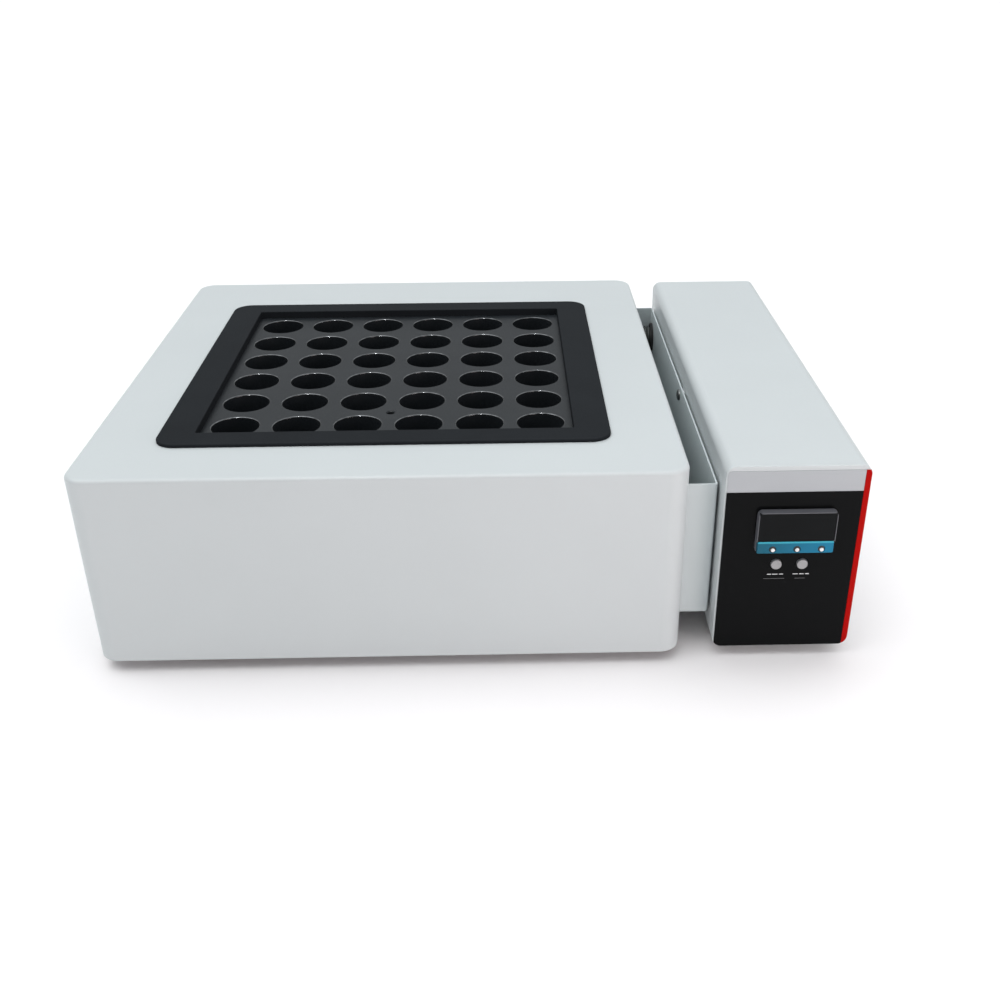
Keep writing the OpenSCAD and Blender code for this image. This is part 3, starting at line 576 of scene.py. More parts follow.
finish_of(
    "white_enamel", ENAMEL, 0.42, tint=0.012, grain=850.0, height=0.012,
    coat=0.12, coat_rough=0.25, specks=0.05, speck_scale=2600.0,
)
finish_of(
    "pale_steel", (0.576, 0.624, 0.630), 0.40, tint=0.015, grain=850.0,
    specks=0.04, speck_scale=2600.0,
)
finish_of(
    "silver_band", (0.405, 0.424, 0.442), 0.36, metal=0.15, tint=0.012,
    grain=420.0, height=0.003, stretch=(0.3, 1, 9), specks=0.10,
    speck_scale=4200.0,
)
finish_of(
    "black_surround", (0.0165, 0.0186, 0.0212), 0.58, tint=0.06, patch=30.0,
    grain=1500.0, height=0.02, specks=0.25, speck_scale=1900.0, specular=0.03,
)
coated_block()
finish_of(
    "worn_rim", (0.115, 0.118, 0.122), 0.16, metal=1.0, tint=0.4, patch=260.0,
    grain=900.0, height=0.002, wander=0.03,
)
brushed("zinc_steel", (0.60, 0.61, 0.62), 0.30, tint=0.05)
brushed("dark_zinc", (0.16, 0.165, 0.165), 0.42, tint=0.08)
brushed("brass", (0.70, 0.50, 0.20), 0.28, along=2, tint=0.05)
finish_of(
    "mica", (0.42, 0.34, 0.24), 0.45, tint=0.2, patch=60.0, grain=300.0,
    height=0.05, specks=0.5, speck_scale=500.0,
)
fibre()
finish_of(
    "steatite", (0.78, 0.76, 0.70), 0.6, tint=0.04, grain=1200.0, height=0.02,
    specks=-0.2, speck_scale=900.0,
)
finish_of(
    "black_rubber", (0.022, 0.022, 0.023), 0.78, tint=0.10, patch=60.0,
    grain=1100.0, height=0.05, wander=0.08, specular=0.35,
)
finish_of(
    "conduit_plastic", (0.046, 0.052, 0.050), 0.42, tint=0.08, patch=80.0,
    grain=900.0, height=0.02,
)
finish_of(
    "silicone_lead", (0.36, 0.16, 0.10), 0.5, tint=0.08, patch=40.0,
    grain=500.0, height=0.03, stretch=(3, 3, 3),
)
finish_of(
    "gloss_film", (0.0026, 0.0029, 0.0032), 0.13, tint=0.10, patch=18.0,
    grain=300.0, height=0.0015, wander=0.03, specks=0.4, speck_scale=2600.0,
    specular=0.08,
)
finish_of(
    "red_paint", (0.400, 0.0026, 0.0015), 0.32, tint=0.05, patch=40.0,
    height=0.006, specular=0.05,
)
finish_of(
    "grey_bezel", (0.098, 0.100, 0.112), 0.42, tint=0.04, patch=60.0,
    grain=2200.0, height=0.012,
)
finish_of(
    "dark_window", (0.0034, 0.0042, 0.0047), 0.10, tint=0.15, patch=40.0,
    grain=400.0, height=0.0006, wander=0.02, specular=0.11,
)
teal_bar()
finish_of(
    "white_key", (0.84, 0.84, 0.84), 0.30, tint=0.02, patch=200.0,
    grain=2500.0, height=0.004,
)
finish_of(
    "grey_button", (0.33, 0.33, 0.335), 0.42, tint=0.04, patch=150.0,
    grain=2400.0, height=0.012,
)
finish_of(
    "black_plastic", (0.022, 0.022, 0.024), 0.45, tint=0.08, patch=60.0,
    grain=1800.0, height=0.03, specks=0.3, speck_scale=2200.0,
)
board()
brushed("finned_aluminium", (0.66, 0.67, 0.68), 0.36, along=2)
finish_of(
    "relay_plastic", (0.66, 0.66, 0.62), 0.45, patch=50.0, grain=1600.0,
    height=0.02,
)
brushed("inlet_brass", (0.72, 0.70, 0.64), 0.22, along=1, tint=0.04)
finish_of(
    "fuse_glass", (0.78, 0.76, 0.70), 0.35, patch=200.0,
    grain=1500.0,
)
finish_of(
    "rocker_red", (0.46, 0.012, 0.010), 0.26, tint=0.04, patch=100.0,
    grain=1500.0, height=0.006, coat=0.3,
)
finish_of(
    "label_white", (0.70, 0.71, 0.72), 0.5, tint=0.05, patch=300.0,
    grain=2500.0, height=0.002,
)
finish_of(
    "label_grey", (0.12, 0.12, 0.125), 0.5, tint=0.05, patch=300.0,
    grain=2500.0, height=0.002,
)


# ---------------- heating unit


def rods_along_x(places, r, x0, x1, seg=40):
    """A cutter: rods along X at each (y, z)."""
    bm = bmesh.new()
    for y, z in places:
        add_solid(bm, [circle(0, 0, r, seg)], [(0, x0), (0, x1)], sideways(y, z))
    return bm


def cut_bridge_holes(made, x0, x1):
    """The holes for the conduit and the bridge's screws, in walls between x0 and x1."""
    x0, x1 = x0 - REACH, x1 + REACH
    carve(made, rods_along_x([(TUBE_Y, TUBE_Z)], BUSH_HOLE_R, x0, x1))
    carve(made, rods_along_x(BRIDGE_SCREWS, BRIDGE_HOLE_R, x0, x1, 20))


def housing():
    """Walls, rolled top edge and bottom flange as one welded and painted sheet."""
    bm = bmesh.new()
    level = upright()
    outline = rounded(HEATER_X, 0, BODY_W, BODY_D, CORNER_R, 12)
    under, pan, roll = BODY_TOP - SHEET, FOOT_H + SHEET, EDGE_R - SHEET
    lining = [(EDGE_R, under)]
    for a in quarter(4)[1:]:
        lining.append((EDGE_R - roll * math.sin(a), under - roll + roll * math.cos(a)))
    lining += [(SHEET, pan + SHEET), (FLANGE, pan + SHEET), (FLANGE, pan)]
    lining += [(SHEET, pan), (SHEET, FOOT_H)]
    outside = shell(bm, outline, soft(FOOT_H, BODY_TOP, 0.5, EDGE_R, 6), level)
    inside = shell(bm, outline, lining, level)
    band(bm, inside[-1], outside[0])
    more = 2 * (LIP + MOUTH_GAP)
    mouth = rounded(HEATER_X, BLOCK_Y, RING_IN_W + more, RING_IN_D + more, 1.0, 3)
    mouth_top = ring(bm, mouth, BODY_TOP, level)
    mouth_low = ring(bm, mouth, under, level)
    band(bm, mouth_low, mouth_top)
    cap(bm, [outside[-1], mouth_top])
    cap(bm, [inside[0], mouth_low])
    made = to_object("housing", bm)
    cut_bridge_holes(made, WALL_X, WALL_X)
    piece(made, "white_enamel", "housing_wrap housing_top bottom_flange")


def surround():
    """The black plate round the block, with the lip that reaches down to it."""
    bm = bmesh.new()
    level = upright(HEATER_X, BLOCK_Y)
    outline = rounded(0, 0, RING_W, RING_D, RING_R, 12)
    opening = hole(rounded(0, 0, RING_IN_W, RING_IN_D, 1.2, 4))
    lip = rounded(0, 0, RING_IN_W + 2 * LIP, RING_IN_D + 2 * LIP, 1.2, 4)
    outer = shell(bm, outline, soft(BODY_TOP, RING_TOP, 0, 0.7), level)
    inner = shell(bm, opening, soft(BLOCK_TOP, RING_TOP, 0, 0.5), level)
    lips = shell(bm, lip, [(0, BLOCK_TOP), (0, BODY_TOP)], level)
    cap(bm, [outer[-1], inner[-1]])
    cap(bm, [inner[0], lips[0]])
    cap(bm, [lips[1], outer[0]])
    made = to_object("surround", bm)
    piece(made, "black_surround", "top_surround")


def block():
    """The block with its wells, thermometer well, stud threads and sensor bore."""
    bm = bmesh.new()
    outline = rounded(0, 0, BLOCK_SIDE, BLOCK_SIDE, 1.0, 3)
    steps = soft(BLOCK_LOW, BLOCK_TOP, 0.5, 0.5, 2)
    sides = shell(bm, outline, steps, upright(HEATER_X, BLOCK_Y))
    tops, lows = [sides[-1]], [sides[0]]

    def pocket(x, y, steps, into, seg, worn=0):
        """A turned pocket; its first few bands are the worn rim."""
        at = upright(HEATER_X + x, BLOCK_Y + y)
        loops = [hole(circle(0, 0, r, seg)) if r else [(0, 0)] for r, h in steps]
        rows = [ring(bm, loop, h, at) for loop, (r, h) in zip(loops, steps)]
        for k, (low, high) in enumerate(zip(rows, rows[1:])):
            band(bm, low, high, int(k < worn))
        into.append(rows[0])

    rim = [
        (WELL_R + RIM * (1 - math.sin(a)), BLOCK_TOP - RIM * (1 - math.cos(a)))
        for a in quarter(3)
    ]
    foot = [
        (WELL_R - FILLET * (1 - math.cos(a)), WELL_FLOOR + FILLET * (1 - math.sin(a)))
        for a in quarter(3)
    ]
    middles = [(k - (WELLS - 1) / 2) * PITCH for k in range(WELLS)]
    for x in middles:
        for y in middles:
            pocket(x, y, rim + foot + [(0, WELL_FLOOR)], tops, 64, len(rim) - 1)
    thermo = [(THERMO_R + RIM, BLOCK_TOP), (THERMO_R, BLOCK_TOP - RIM)]
    thermo += [(THERMO_R, WELL_FLOOR), (0, WELL_FLOOR)]
    pocket(0, THERMO_Y, thermo, tops, 32)
    thread = [(STUD_HOLE_R, BLOCK_LOW), (STUD_HOLE_R, WELL_FLOOR), (STUD_R, WELL_FLOOR)]
    thread += [(STUD_R, WELL_FLOOR + STUD_GRIP), (0, WELL_FLOOR + STUD_GRIP)]
    for x in (-STUD_AT, STUD_AT):
        for y in (-STUD_AT, STUD_AT):
            pocket(x, y, thread, lows, 24)
    cap(bm, tops)
    cap(bm, lows)
    made = to_object("tube_block", bm)
    right = HEATER_X + BLOCK_SIDE / 2
    x0, x1 = right - SENSOR_DEPTH, right + REACH
    carve(made, rods_along_x([(BLOCK_Y, SENSOR_Z)], SENSOR_R, x0, x1, 24))
    piece(made, "block_coating worn_rim", "heating_block block_base")


def feet(name, node, middle, apart, r):
    """Four rubber feet with ribbed sides, and the screws that hold them."""
    bm = bmesh.new()
    taper = 1.5
    low_r = r - taper
    side = [(low_r - 0.9, 0.0), (low_r - 0.3, 0.25), (low_r, 0.9)]
    for h in (2.6, 4.4, 6.2):
        full = low_r + taper * h / FOOT_H
        side += [(full, h - 0.5), (full - 0.25, h), (full, h + 0.5)]
    side += [(r, FOOT_H), (2.05, FOOT_H), (2.05, 4.0), (5.0, 4.0), (5.0, 0.4), (5.4, 0.0)]
    screw = [(0, 2.6), (1.3, 2.6), (1.5, 2.2), (3.2, 2.2), (3.9, 2.7), (4.0, 4.0)]
    screw += [(2.0, 4.0), (2.0, FOOT_H + SHEET), (0, FOOT_H + SHEET)]
    for i in (-1, 1):
        for j in (-1, 1):
            at = upright(middle[0] + i * apart[0], middle[1] + j * apart[1])
            add_lathe(bm, side, at, 56, closed=True)
            add_lathe(bm, screw, at, 32, mats=[1] * len(screw))
    piece(to_object(name, bm), "black_rubber zinc_steel", node)


# ---------------- bridge


def bridge():
    """The folded channel between the boxes."""
    bm = bmesh.new()
    mid_x, width = (WALL_X + BRIDGE_RIGHT) / 2, BRIDGE_RIGHT - WALL_X
    outline = rounded(mid_x, BRIDGE_Y, width, BRIDGE_D, 1.8, 5)
    t, fold = BRIDGE_T, 0.5
    walls = soft(BRIDGE_Z, BRIDGE_TOP, 1.6, 0.35, 4)
    rim = [(t - e, h) for e, h in reversed(soft(BRIDGE_TOP - 2, BRIDGE_TOP, 0, 0.35, 4))]
    bend = [
        (t + fold * (1 - math.cos(a)), BRIDGE_Z + t + fold * (1 - math.sin(a)))
        for a in quarter(3)
    ]
    rows = shell(bm, outline, walls + rim + bend, upright())
    cap(bm, [rows[0]])
    cap(bm, [rows[-1]])
    made = to_object("bridge", bm)
    cut_bridge_holes(made, WALL_X, BRIDGE_RIGHT)
    piece(made, "pale_steel", "bridge_channel")


def conduit():
    """Corrugated tube for the leads, ribbed between its two grommets."""
    bm = bmesh.new()
    x0, x1 = span("wiring_conduit", "x")
    first, pitch, ribs, fine = 132.6, 2.6, 5, 12
    steps = [(TUBE_R - 1.3, x0), (TUBE_R - 0.3, x0), (TUBE_R, x0 + 0.3)]
    for k in range(ribs * fine + 1):
        wave = 0.5 - 0.5 * math.cos(2 * math.pi * k / fine)
        steps.append((TUBE_R + 0.8 * wave**0.6, first + pitch * k / fine))
    steps += [(TUBE_R, x1 - 0.3), (TUBE_R - 0.3, x1), (TUBE_R - 1.3, x1)]
    add_lathe(bm, steps, sideways(TUBE_Y, TUBE_Z), 64, closed=True)
    piece(to_object("conduit", bm), "conduit_plastic", "wiring_conduit")


def bushings():
    """Two grommets: each flange sits on the channel's wall, its neck goes on to an end."""
    bm = bmesh.new()
    left_end, right_end = span("conduit_bushings", "x")
    r = BUSH_FLANGE_R
    sides = ((WALL_X + BRIDGE_T, -1, left_end), (BRIDGE_RIGHT - BRIDGE_T, 1, right_end))
    for seat, s, end in sides:
        face = seat - s * BUSH_T
        steps = [(TUBE_R, face + s * 0.6), (TUBE_R + 0.6, face), (r - 0.8, face)]
        steps += [(r - 0.2, face + s * 0.3), (r, face + s * 0.9), (r, seat)]
        steps += [(BUSH_R, seat), (BUSH_R, end - s * 0.6), (BUSH_R - 0.6, end)]
        steps += [(TUBE_R, end)]
        add_lathe(bm, steps, sideways(TUBE_Y, TUBE_Z), 64, closed=True)
    piece(to_object("grommets", bm), "black_rubber", "conduit_bushings")


def bridge_screws():
    """Button-head socket screws, from inside the channel into both boxes."""
    bm, bits = bmesh.new(), bmesh.new()
    head_r, head_t, shank_r, socket_r = 4.0, 2.0, 2.0, 1.35
    left_end, right_end = span("bridge_screws", "x")
    sides = ((WALL_X + BRIDGE_T, 1, left_end), (BRIDGE_RIGHT - BRIDGE_T, -1, right_end))
    for seat, s, end in sides:
        dome = [
            (head_r * math.sin(a), seat + s * head_t * (0.35 + 0.65 * math.cos(a)))
            for a in quarter(8)[1:]
        ]
        steps = [(0, seat + s * head_t)] + dome + [(head_r, seat), (shank_r, seat)]
        steps += [(shank_r, end), (0, end)]
        socket = [(0, seat + s * head_t * 0.35), (0, seat + s * REACH)]
        for y, z in BRIDGE_SCREWS:
            add_lathe(bm, steps, sideways(y, z), 40)
            add_solid(bits, [circle(0, 0, socket_r, 6)], socket, sideways(y, z))
    made = to_object("bridge_fixings", bm)
    carve(made, bits)
    piece(made, "dark_zinc", "bridge_screws", slot="zinc_steel")


# ---------------- controller


def ctrl_outline(less=0.0):
    """The controller's outline, seen from the front, or one that lies inside it."""
    w, h, r = CTRL_W - 2 * less, CTRL_H - 2 * less, CTRL_R - less
    return rounded(CTRL_X, CTRL_MID_Z, w, h, r, 10)


def sleeve():
    """The controller's folded cover, open at both ends."""
    bm = bmesh.new()
    loops = [ctrl_outline(), hole(ctrl_outline(SHEET))]
    add_solid(bm, loops, soft(SLEEVE_Y, REAR_IN, 0.3, 0.3, 3), facing())
    made = to_object("cover", bm)
    cut_bridge_holes(made, CTRL_LEFT, CTRL_LEFT)
    piece(made, "white_enamel", "controller_sleeve")


def front_holes():
    """The meter's and buttons' openings in the front plate and film."""
    opening = rounded(METER_X, METER_Z, METER_HOLE_W, METER_HOLE_H, 0.8, 3)
    rounds = [circle(x, BUTTON_Z, BUTTON_R + 0.3, 40) for x in BUTTONS_X]
    return [hole(loop) for loop in [opening] + rounds]


def front_panel():
    """The painted plate that carries all that is on the front."""
    bm = bmesh.new()
    places = [CTRL_X + s * PLATE_SCREW_X for s in (-1, 1)]
    screws = [hole(circle(x, FRONT_SCREW_Z, PLATE_SCREW_R, 20)) for x in places]
    loops = [ctrl_outline()] + front_holes() + screws
    add_solid(bm, loops, soft(SLEEVE_Y, PLATE_Y, 0.15, 0.5, 3), facing())
    made = to_object("front_panel", bm)
    piece(made, "white_enamel", "front_plate", slot="silver_band")


def front_overlay():
    """The black film, which follows the plate's two lower corners."""
    bm = bmesh.new()
    left_from = 180 + math.degrees(math.acos((ARC_LEFT - FILM_LEFT) / CTRL_R))
    film = arc(ARC_LEFT, ARC_LOW, CTRL_R, left_from, 270, 8)
    film += arc(ARC_RIGHT, ARC_LOW, CTRL_R, 270, RED_FROM, 4)
    film += [(RED_LEFT, FILM_TOP), (FILM_LEFT, FILM_TOP)]
    add_solid(bm, [film] + front_holes(), soft(PLATE_Y, FILM_Y, 0, 0.2, 3), facing())
    piece(to_object("front_overlay", bm), "gloss_film", "front_film")


def red_edge():
    """The red strip, which follows the plate's two right corners."""
    bm = bmesh.new()
    top_to = math.degrees(math.asin((STRIP_TOP - ARC_HIGH) / CTRL_R))
    strip = arc(ARC_RIGHT, ARC_LOW, CTRL_R, RED_FROM, 360, 6)
    strip += arc(ARC_RIGHT, ARC_HIGH, CTRL_R, 0, top_to, 6)
    strip += [(RED_LEFT, STRIP_TOP)]
    add_solid(bm, [strip], soft(PLATE_Y, FILM_Y, 0, 0.35, 3), facing())
    piece(to_object("red_edge", bm), "red_paint", "red_strip")


def pale_band():
    """The thin pale sheet above the film, short of the plate's top and left edges."""
    bm = bmesh.new()
    r = CTRL_R - (FILM_LEFT - CTRL_LEFT)
    turn = math.degrees(math.asin((STRIP_TOP - ARC_HIGH) / r))
    pale = [(RED_LEFT, FILM_TOP), (RED_LEFT, STRIP_TOP)]
    pale += arc(ARC_LEFT, ARC_HIGH, r, 180 - turn, 180, 6) + [(FILM_LEFT, FILM_TOP)]
    add_solid(bm, [pale], soft(PLATE_Y, PLATE_Y - PALE_T, 0, 0.15, 3), facing())
    piece(to_object("pale_band", bm), "silver_band", slot="silver_band")


def labels():
    """Plain dashes where the real panel has small print."""
    bm = bmesh.new()
    # (middle, width) of each mark, then (height, thickness) of the row it is in
    dashes = [(182.0, 2.6), (185.6, 3.4), (189.4, 2.6), (198.2, 3.2), (202.0, 2.8), (205.4, 2.4)]
    fine_lines = [(185.2, 13.0), (201.2, 6.5)]
    rows = ((60.6, 0.55, dashes), (57.5, 0.28, fine_lines))
    steps = [(0, FILM_Y), (0.02, FILM_Y - 0.05)]
    for mat, (z, h, marks) in enumerate(rows):
        for x, w in marks:
            add_solid(bm, [rounded(x, z, w, h, h * 0.3, 3)], steps, facing(), mat)
    piece(to_object("button_marks", bm), "label_white label_grey")


def box_cutter(*boxes):
    """A cutter: boxes with their (x, y, z) corners."""
    bm = bmesh.new()
    for x0, y0, z0, x1, y1, z1 in boxes:
        flat = [(x0, z0), (x1, z0), (x1, z1), (x0, z1)]
        add_solid(bm, [flat], [(0, y0), (0, y1)], facing())
    return bm


def meter_bezel():
    """The meter's bezel and case, with room for its window, display, key bar and keys."""
    bm = bmesh.new()
    outline = rounded(METER_X, METER_Z, METER_W, METER_H, 3.0, 6)
    case = [(CASE_INSET, CASE_BACK), (CASE_INSET, FILM_Y), (0, FILM_Y), (0, FILM_Y - 0.6)]
    case += [(0.25, METER_Y + 0.35), (0.33, METER_Y + 0.12), (0.55, METER_Y)]
    add_solid(bm, [outline], case, facing())
    made = to_object("meter_bezel", bm)
    wide, high = [side / 2 - CASE_INSET - CASE_WALL for side in (METER_W, METER_H)]
    room = FILM_Y + 0.55
    display_low = BAR_TOP + DISPLAY_UP
    # in turn: the window's seat, the display's opening, the bar's seat, the board's room
    for half, y0, y1, z0, z1 in (
        (WINDOW_W / 2, METER_Y - 1, METER_Y + 2, BAR_TOP, WINDOW_TOP),
        (DISPLAY_W / 2, METER_Y + 1, room + REACH, display_low, display_low + DISPLAY_H),
        (METER_W / 2 + 1, METER_Y - 1, BAR_BACK, BAR_LOW - 3, BAR_TOP + 0.01),
        (wide, room, CASE_BACK + 1, METER_Z - high, METER_Z + high),
    ):
        carve(made, box_cutter((METER_X - half, y0, z0, METER_X + half, y1, z1)))
    wells = bmesh.new()
    for x in KEYS_X:
        steps = [(0, METER_Y - 1), (0, METER_Y + 4.6)]
        add_solid(wells, [circle(0, 0, KEY_R + 0.8, 32)], steps, facing(x, KEY_Z))
    carve(made, wells)
    soften(made, 0.12)
    piece(made, "grey_bezel", "meter_case")


def display_window():
    """The dark window over the display."""
    bm = bmesh.new()
    mid, height = (BAR_TOP + WINDOW_TOP) / 2, WINDOW_TOP - BAR_TOP
    glass = rounded(METER_X, mid, WINDOW_W - 0.1, height - 0.1, 0.8, 4)
    add_solid(bm, [glass], soft(METER_Y + 2, METER_Y + 0.3, 0, 0.25, 3), facing())
    piece(to_object("display_window", bm), "dark_window", "meter_window")


def key_bar():
    """The coloured bar with a hole for each key."""
    bm = bmesh.new()
    bar = rounded(METER_X, (BAR_LOW + BAR_TOP) / 2, BAR_W, BAR_TOP - BAR_LOW, 0.9, 5)
    sockets = [hole(circle(x, KEY_Z, KEY_R + 0.15, 32)) for x in KEYS_X]
    add_solid(bm, [bar] + sockets, soft(BAR_BACK, BAR_Y, 0, 0.35, 4), facing())
    piece(to_object("key_bar", bm), "teal_keybar", "meter_bar")


def meter_keys():
    """Three keys: a white dome on a dark ring; the ring is the key's own dark surround and,
    where it shows up and left of the off-centre dome, painted shadow.
    """
    tip = BAR_Y - 0.5
    dome = [(0, tip), (0.6, tip + 0.04), (0.95, tip + 0.14), (1.2, tip + 0.34)]
    dome += [(1.25, tip + 0.9), (0, tip + 0.9)]
    # the dark ring: the key's own dark surround, and painted shadow where the dome sits right of
    # and below its middle
    skirt_and_shadow = [(0, tip + 0.7), (1.6, tip + 0.66), (1.8, tip + 0.7), (KEY_R, tip + 0.9)]
    skirt_and_shadow += [(KEY_R, tip + 3.7), (KEY_R + 0.5, tip + 3.7), (KEY_R + 0.5, tip + 4.3)]
    skirt_and_shadow += [(0, tip + 4.3)]
    for side, x in zip(("left", "middle", "right"), KEYS_X):
        bm = bmesh.new()
        add_lathe(bm, dome, facing(x + 0.2, KEY_Z - 0.45), 32)
        add_lathe(bm, skirt_and_shadow, facing(x, KEY_Z), 32, mats=[1] * len(skirt_and_shadow))
        key = "key_" + side
        piece(to_object(key, bm), "white_key black_plastic", "meter_" + key, key)


def push_buttons():
    """Two round caps, slightly dished, with the flange and stem behind the plate."""
    face, back, r = FILM_Y - BUTTON_OUT, SLEEVE_Y + 0.3, BUTTON_R
    steps = [(0, face + 0.22), (1.4, face + 0.19), (2.3, face + 0.08), (2.8, face)]
    steps += [(r - 0.25, face + 0.09), (r - 0.07, face + 0.3), (r, face + 0.6)]
    steps += [(r, back), (r + 1, back), (r + 1, back + 1), (1.5, back + 1)]
    steps += [(1.5, back + 4), (0, back + 4)]
    for side, x in zip(("left", "right"), BUTTONS_X):
        bm = bmesh.new()
        add_lathe(bm, steps, facing(x, BUTTON_Z), 48)
        push = "push_" + side
        piece(to_object(push, bm), "grey_button", "button_" + side, push)


# ---------------- rear


def rear_plate():
    """The rear panel with its slots and openings."""
    bm = bmesh.new()
    cuts = [rounded(CTRL_X, INLET_Z, INLET_W - 4, INLET_H - 4, 1.0, 3)]
    cuts.append(rounded(CTRL_X, SWITCH_Z, SWITCH_W - 2.4, SWITCH_H - 2.4, 0.8, 3))
    for s in (-1, 1):
        cuts.append(circle(CTRL_X + s * PLATE_SCREW_X, REAR_SCREW_Z, PLATE_SCREW_R, 20))
        for k in range(VENTS):
            x, z = CTRL_X + s * VENT_X, VENT_Z + VENT_PITCH * k
            cuts.append(rounded(x, z, VENT_W, VENT_H, 1.4, 5))
    loops = [ctrl_outline()] + [hole(c) for c in cuts]
    add_solid(bm, loops, soft(REAR_IN, REAR_OUT, 0.15, 0.35, 3), facing())
    piece(to_object("rear_plate", bm), "white_enamel", "rear_panel")


def rear_fixings():
    """The rear panel's two cross-head screws; each cut takes one blade of the cross."""
    bm = bmesh.new()
    top, head_r = REAR_OUT + 1.8, 3.0
    steps = [(0, top), (1.6, top - 0.12), (2.5, top - 0.5), (head_r, top - 1.1)]
    steps += [(head_r, REAR_OUT), (PLATE_SCREW_R, REAR_OUT)]
    steps += [(PLATE_SCREW_R, REAR_IN - 5), (0, REAR_IN - 5)]
    places = [facing(CTRL_X + s * PLATE_SCREW_X, REAR_SCREW_Z) for s in (-1, 1)]
    for at in places:
        add_lathe(bm, steps, at, 36)
    made = to_object("rear_fixings", bm)
    for w, h in ((3.2, 0.7), (0.7, 3.2)):
        bits = bmesh.new()
        for at in places:
            blade = rounded(0, 0, w, h, 0.15, 2)
            add_solid(bits, [blade], [(0, top - 0.95), (0, top + 1)], at)
        carve(made, bits)
    piece(made, "zinc_steel", "rear_screws")


def inlet():
    """The mains inlet with its socket and fuse bay."""
    bm = bmesh.new()
    outline = rounded(CTRL_X, INLET_Z, INLET_W, INLET_H, 3.0, 6)
    steps = [(2, INLET_BACK), (2, REAR_OUT), (0, REAR_OUT)]
    steps += soft(REAR_OUT, INLET_FACE, 0, 0.7)[1:]
    add_solid(bm, [outline], steps, facing())
    made = to_object("mains_inlet", bm)
    bits = bmesh.new()
    x, z, cut = SOCKET_W / 2, SOCKET_H / 2, SOCKET_CUT
    nose = [(-x, cut - z), (cut - x, -z), (x - cut, -z), (x, cut - z), (x, z), (-x, z)]
    steps = [(0, INLET_FACE - SOCKET_DEPTH), (0, INLET_FACE + 1)]
    add_solid(bits, [nose], steps, facing(CTRL_X, SOCKET_Z))
    bay = rounded(0, 0, DRAWER_W + 0.6, DRAWER_H + 0.6, 0.6, 3)
    steps = [(0, DRAWER_BACK - 1), (0, INLET_FACE + 1)]
    add_solid(bits, [bay], steps, facing(CTRL_X, DRAWER_Z))
    carve(made, bits)
    soften(made, 0.25)
    piece(made, "black_plastic", "power_inlet")


def inlet_blades():
    """The inlet's three flat pins, set back from its face."""
    bm = bmesh.new()
    steps = soft(INLET_FACE - SOCKET_DEPTH, INLET_FACE - 3, 0, 0.7, 4)
    for x, z in ((-7, -2), (7, -2), (0, 2)):
        add_solid(bm, [rounded(CTRL_X + x, SOCKET_Z + z, 2, 4, 0.3, 3)], steps, facing())
    piece(to_object("inlet_blades", bm), "inlet_brass", "inlet_pins")


def fuse_tray():
    """The fuse drawer: two troughs open at the top, and a lip for a finger."""
    bm = bmesh.new()
    drawer = rounded(CTRL_X, DRAWER_Z, DRAWER_W, DRAWER_H, 0.5, 3)
    add_solid(bm, [drawer], soft(DRAWER_BACK, INLET_FACE, 0.2, 0.5, 3), facing())
    made = to_object("fuse_tray", bm)
    troughs = []
    for x in (CTRL_X - FUSE_X, CTRL_X + FUSE_X):
        low, high = DRAWER_Z - 2.7, DRAWER_Z + DRAWER_H / 2 + 3
        troughs.append((x - 3, FUSE_Y, low, x + 3, FUSE_Y + FUSE_LENGTH, high))
    carve(made, box_cutter(*troughs))
    bm = reopened(made)
    lip = rounded(CTRL_X, DRAWER_Z - 4, 10, 2, 0.4, 3)
    add_solid(bm, [lip], soft(INLET_FACE - 0.6, INLET_FACE + 1.6, 0, 0.5, 3), facing())
    piece(to_object("fuse_tray", bm), "black_plastic", "fuse_drawer", "fuse_tray")


def fuse_pair():
    """Two glass fuses with metal caps, which ride in the drawer."""
    bm = bmesh.new()
    y0, y1 = FUSE_Y, FUSE_Y + FUSE_LENGTH
    steps = [(0, y0), (2.3, y0), (2.6, y0 + 0.3), (2.6, y0 + 4.6), (2.4, y0 + 4.8)]
    steps += [(2.4, y1 - 4.8), (2.6, y1 - 4.6), (2.6, y1 - 0.3), (2.3, y1), (0, y1)]
    mats = [1, 1, 1, 1, 0, 1, 1, 1, 1]
    for s in (-1, 1):
        add_lathe(bm, steps, facing(CTRL_X + s * FUSE_X, DRAWER_Z - 0.1), 32, mats=mats)
    piece(to_object("fuse_pair", bm), "fuse_glass inlet_brass", "fuses", "fuse_tray")


def switch_bezel():
    """The switch's frame and case, with its three terminals."""
    bm = bmesh.new()
    face = REAR_OUT + 2
    outline = rounded(CTRL_X, SWITCH_Z, SWITCH_W, SWITCH_H, 1.5, 5)
    steps = [(1.2, REAR_OUT - 16), (1.2, REAR_OUT), (0, REAR_OUT)]
    steps += soft(REAR_OUT, face, 0, 0.7)[1:]
    add_solid(bm, [outline], steps, facing())
    made = to_object("switch_bezel", bm)
    bits = bmesh.new()
    well = rounded(CTRL_X, SWITCH_Z, ROCKER_W + 0.4, 19.8, 0.5, 3)
    add_solid(bits, [well], [(0, REAR_OUT - 14.8), (0, face + 1)], facing())
    carve(made, bits)
    bm = reopened(made)
    for z in (-6, 0, 6):
        tab = rounded(CTRL_X, SWITCH_Z + z, 0.8, 4.8, 0.2, 2)
        add_solid(bm, [tab], soft(REAR_OUT - 22, REAR_OUT - 15.8, 0.3, 0, 3), facing(), 1)
    piece(to_object("switch_bezel", bm), "black_plastic inlet_brass", "switch_frame")


def rocker_face(v):
    """How far the rocker's dished face stands out, v above its middle."""
    return DIP + (BROW - DIP) * abs(v / ROCKER_HALF) ** 1.3


def tilted(u, v, h):
    """Outlines in the rocker's own section, u out and v up; heights run along X."""
    c, s = math.cos(ROCKER_TILT), math.sin(ROCKER_TILT)
    y, z = u * c + v * s, v * c - u * s
    return Vector((CTRL_X + h, ROCKER_AXIS + y, SWITCH_Z + z)) * MM


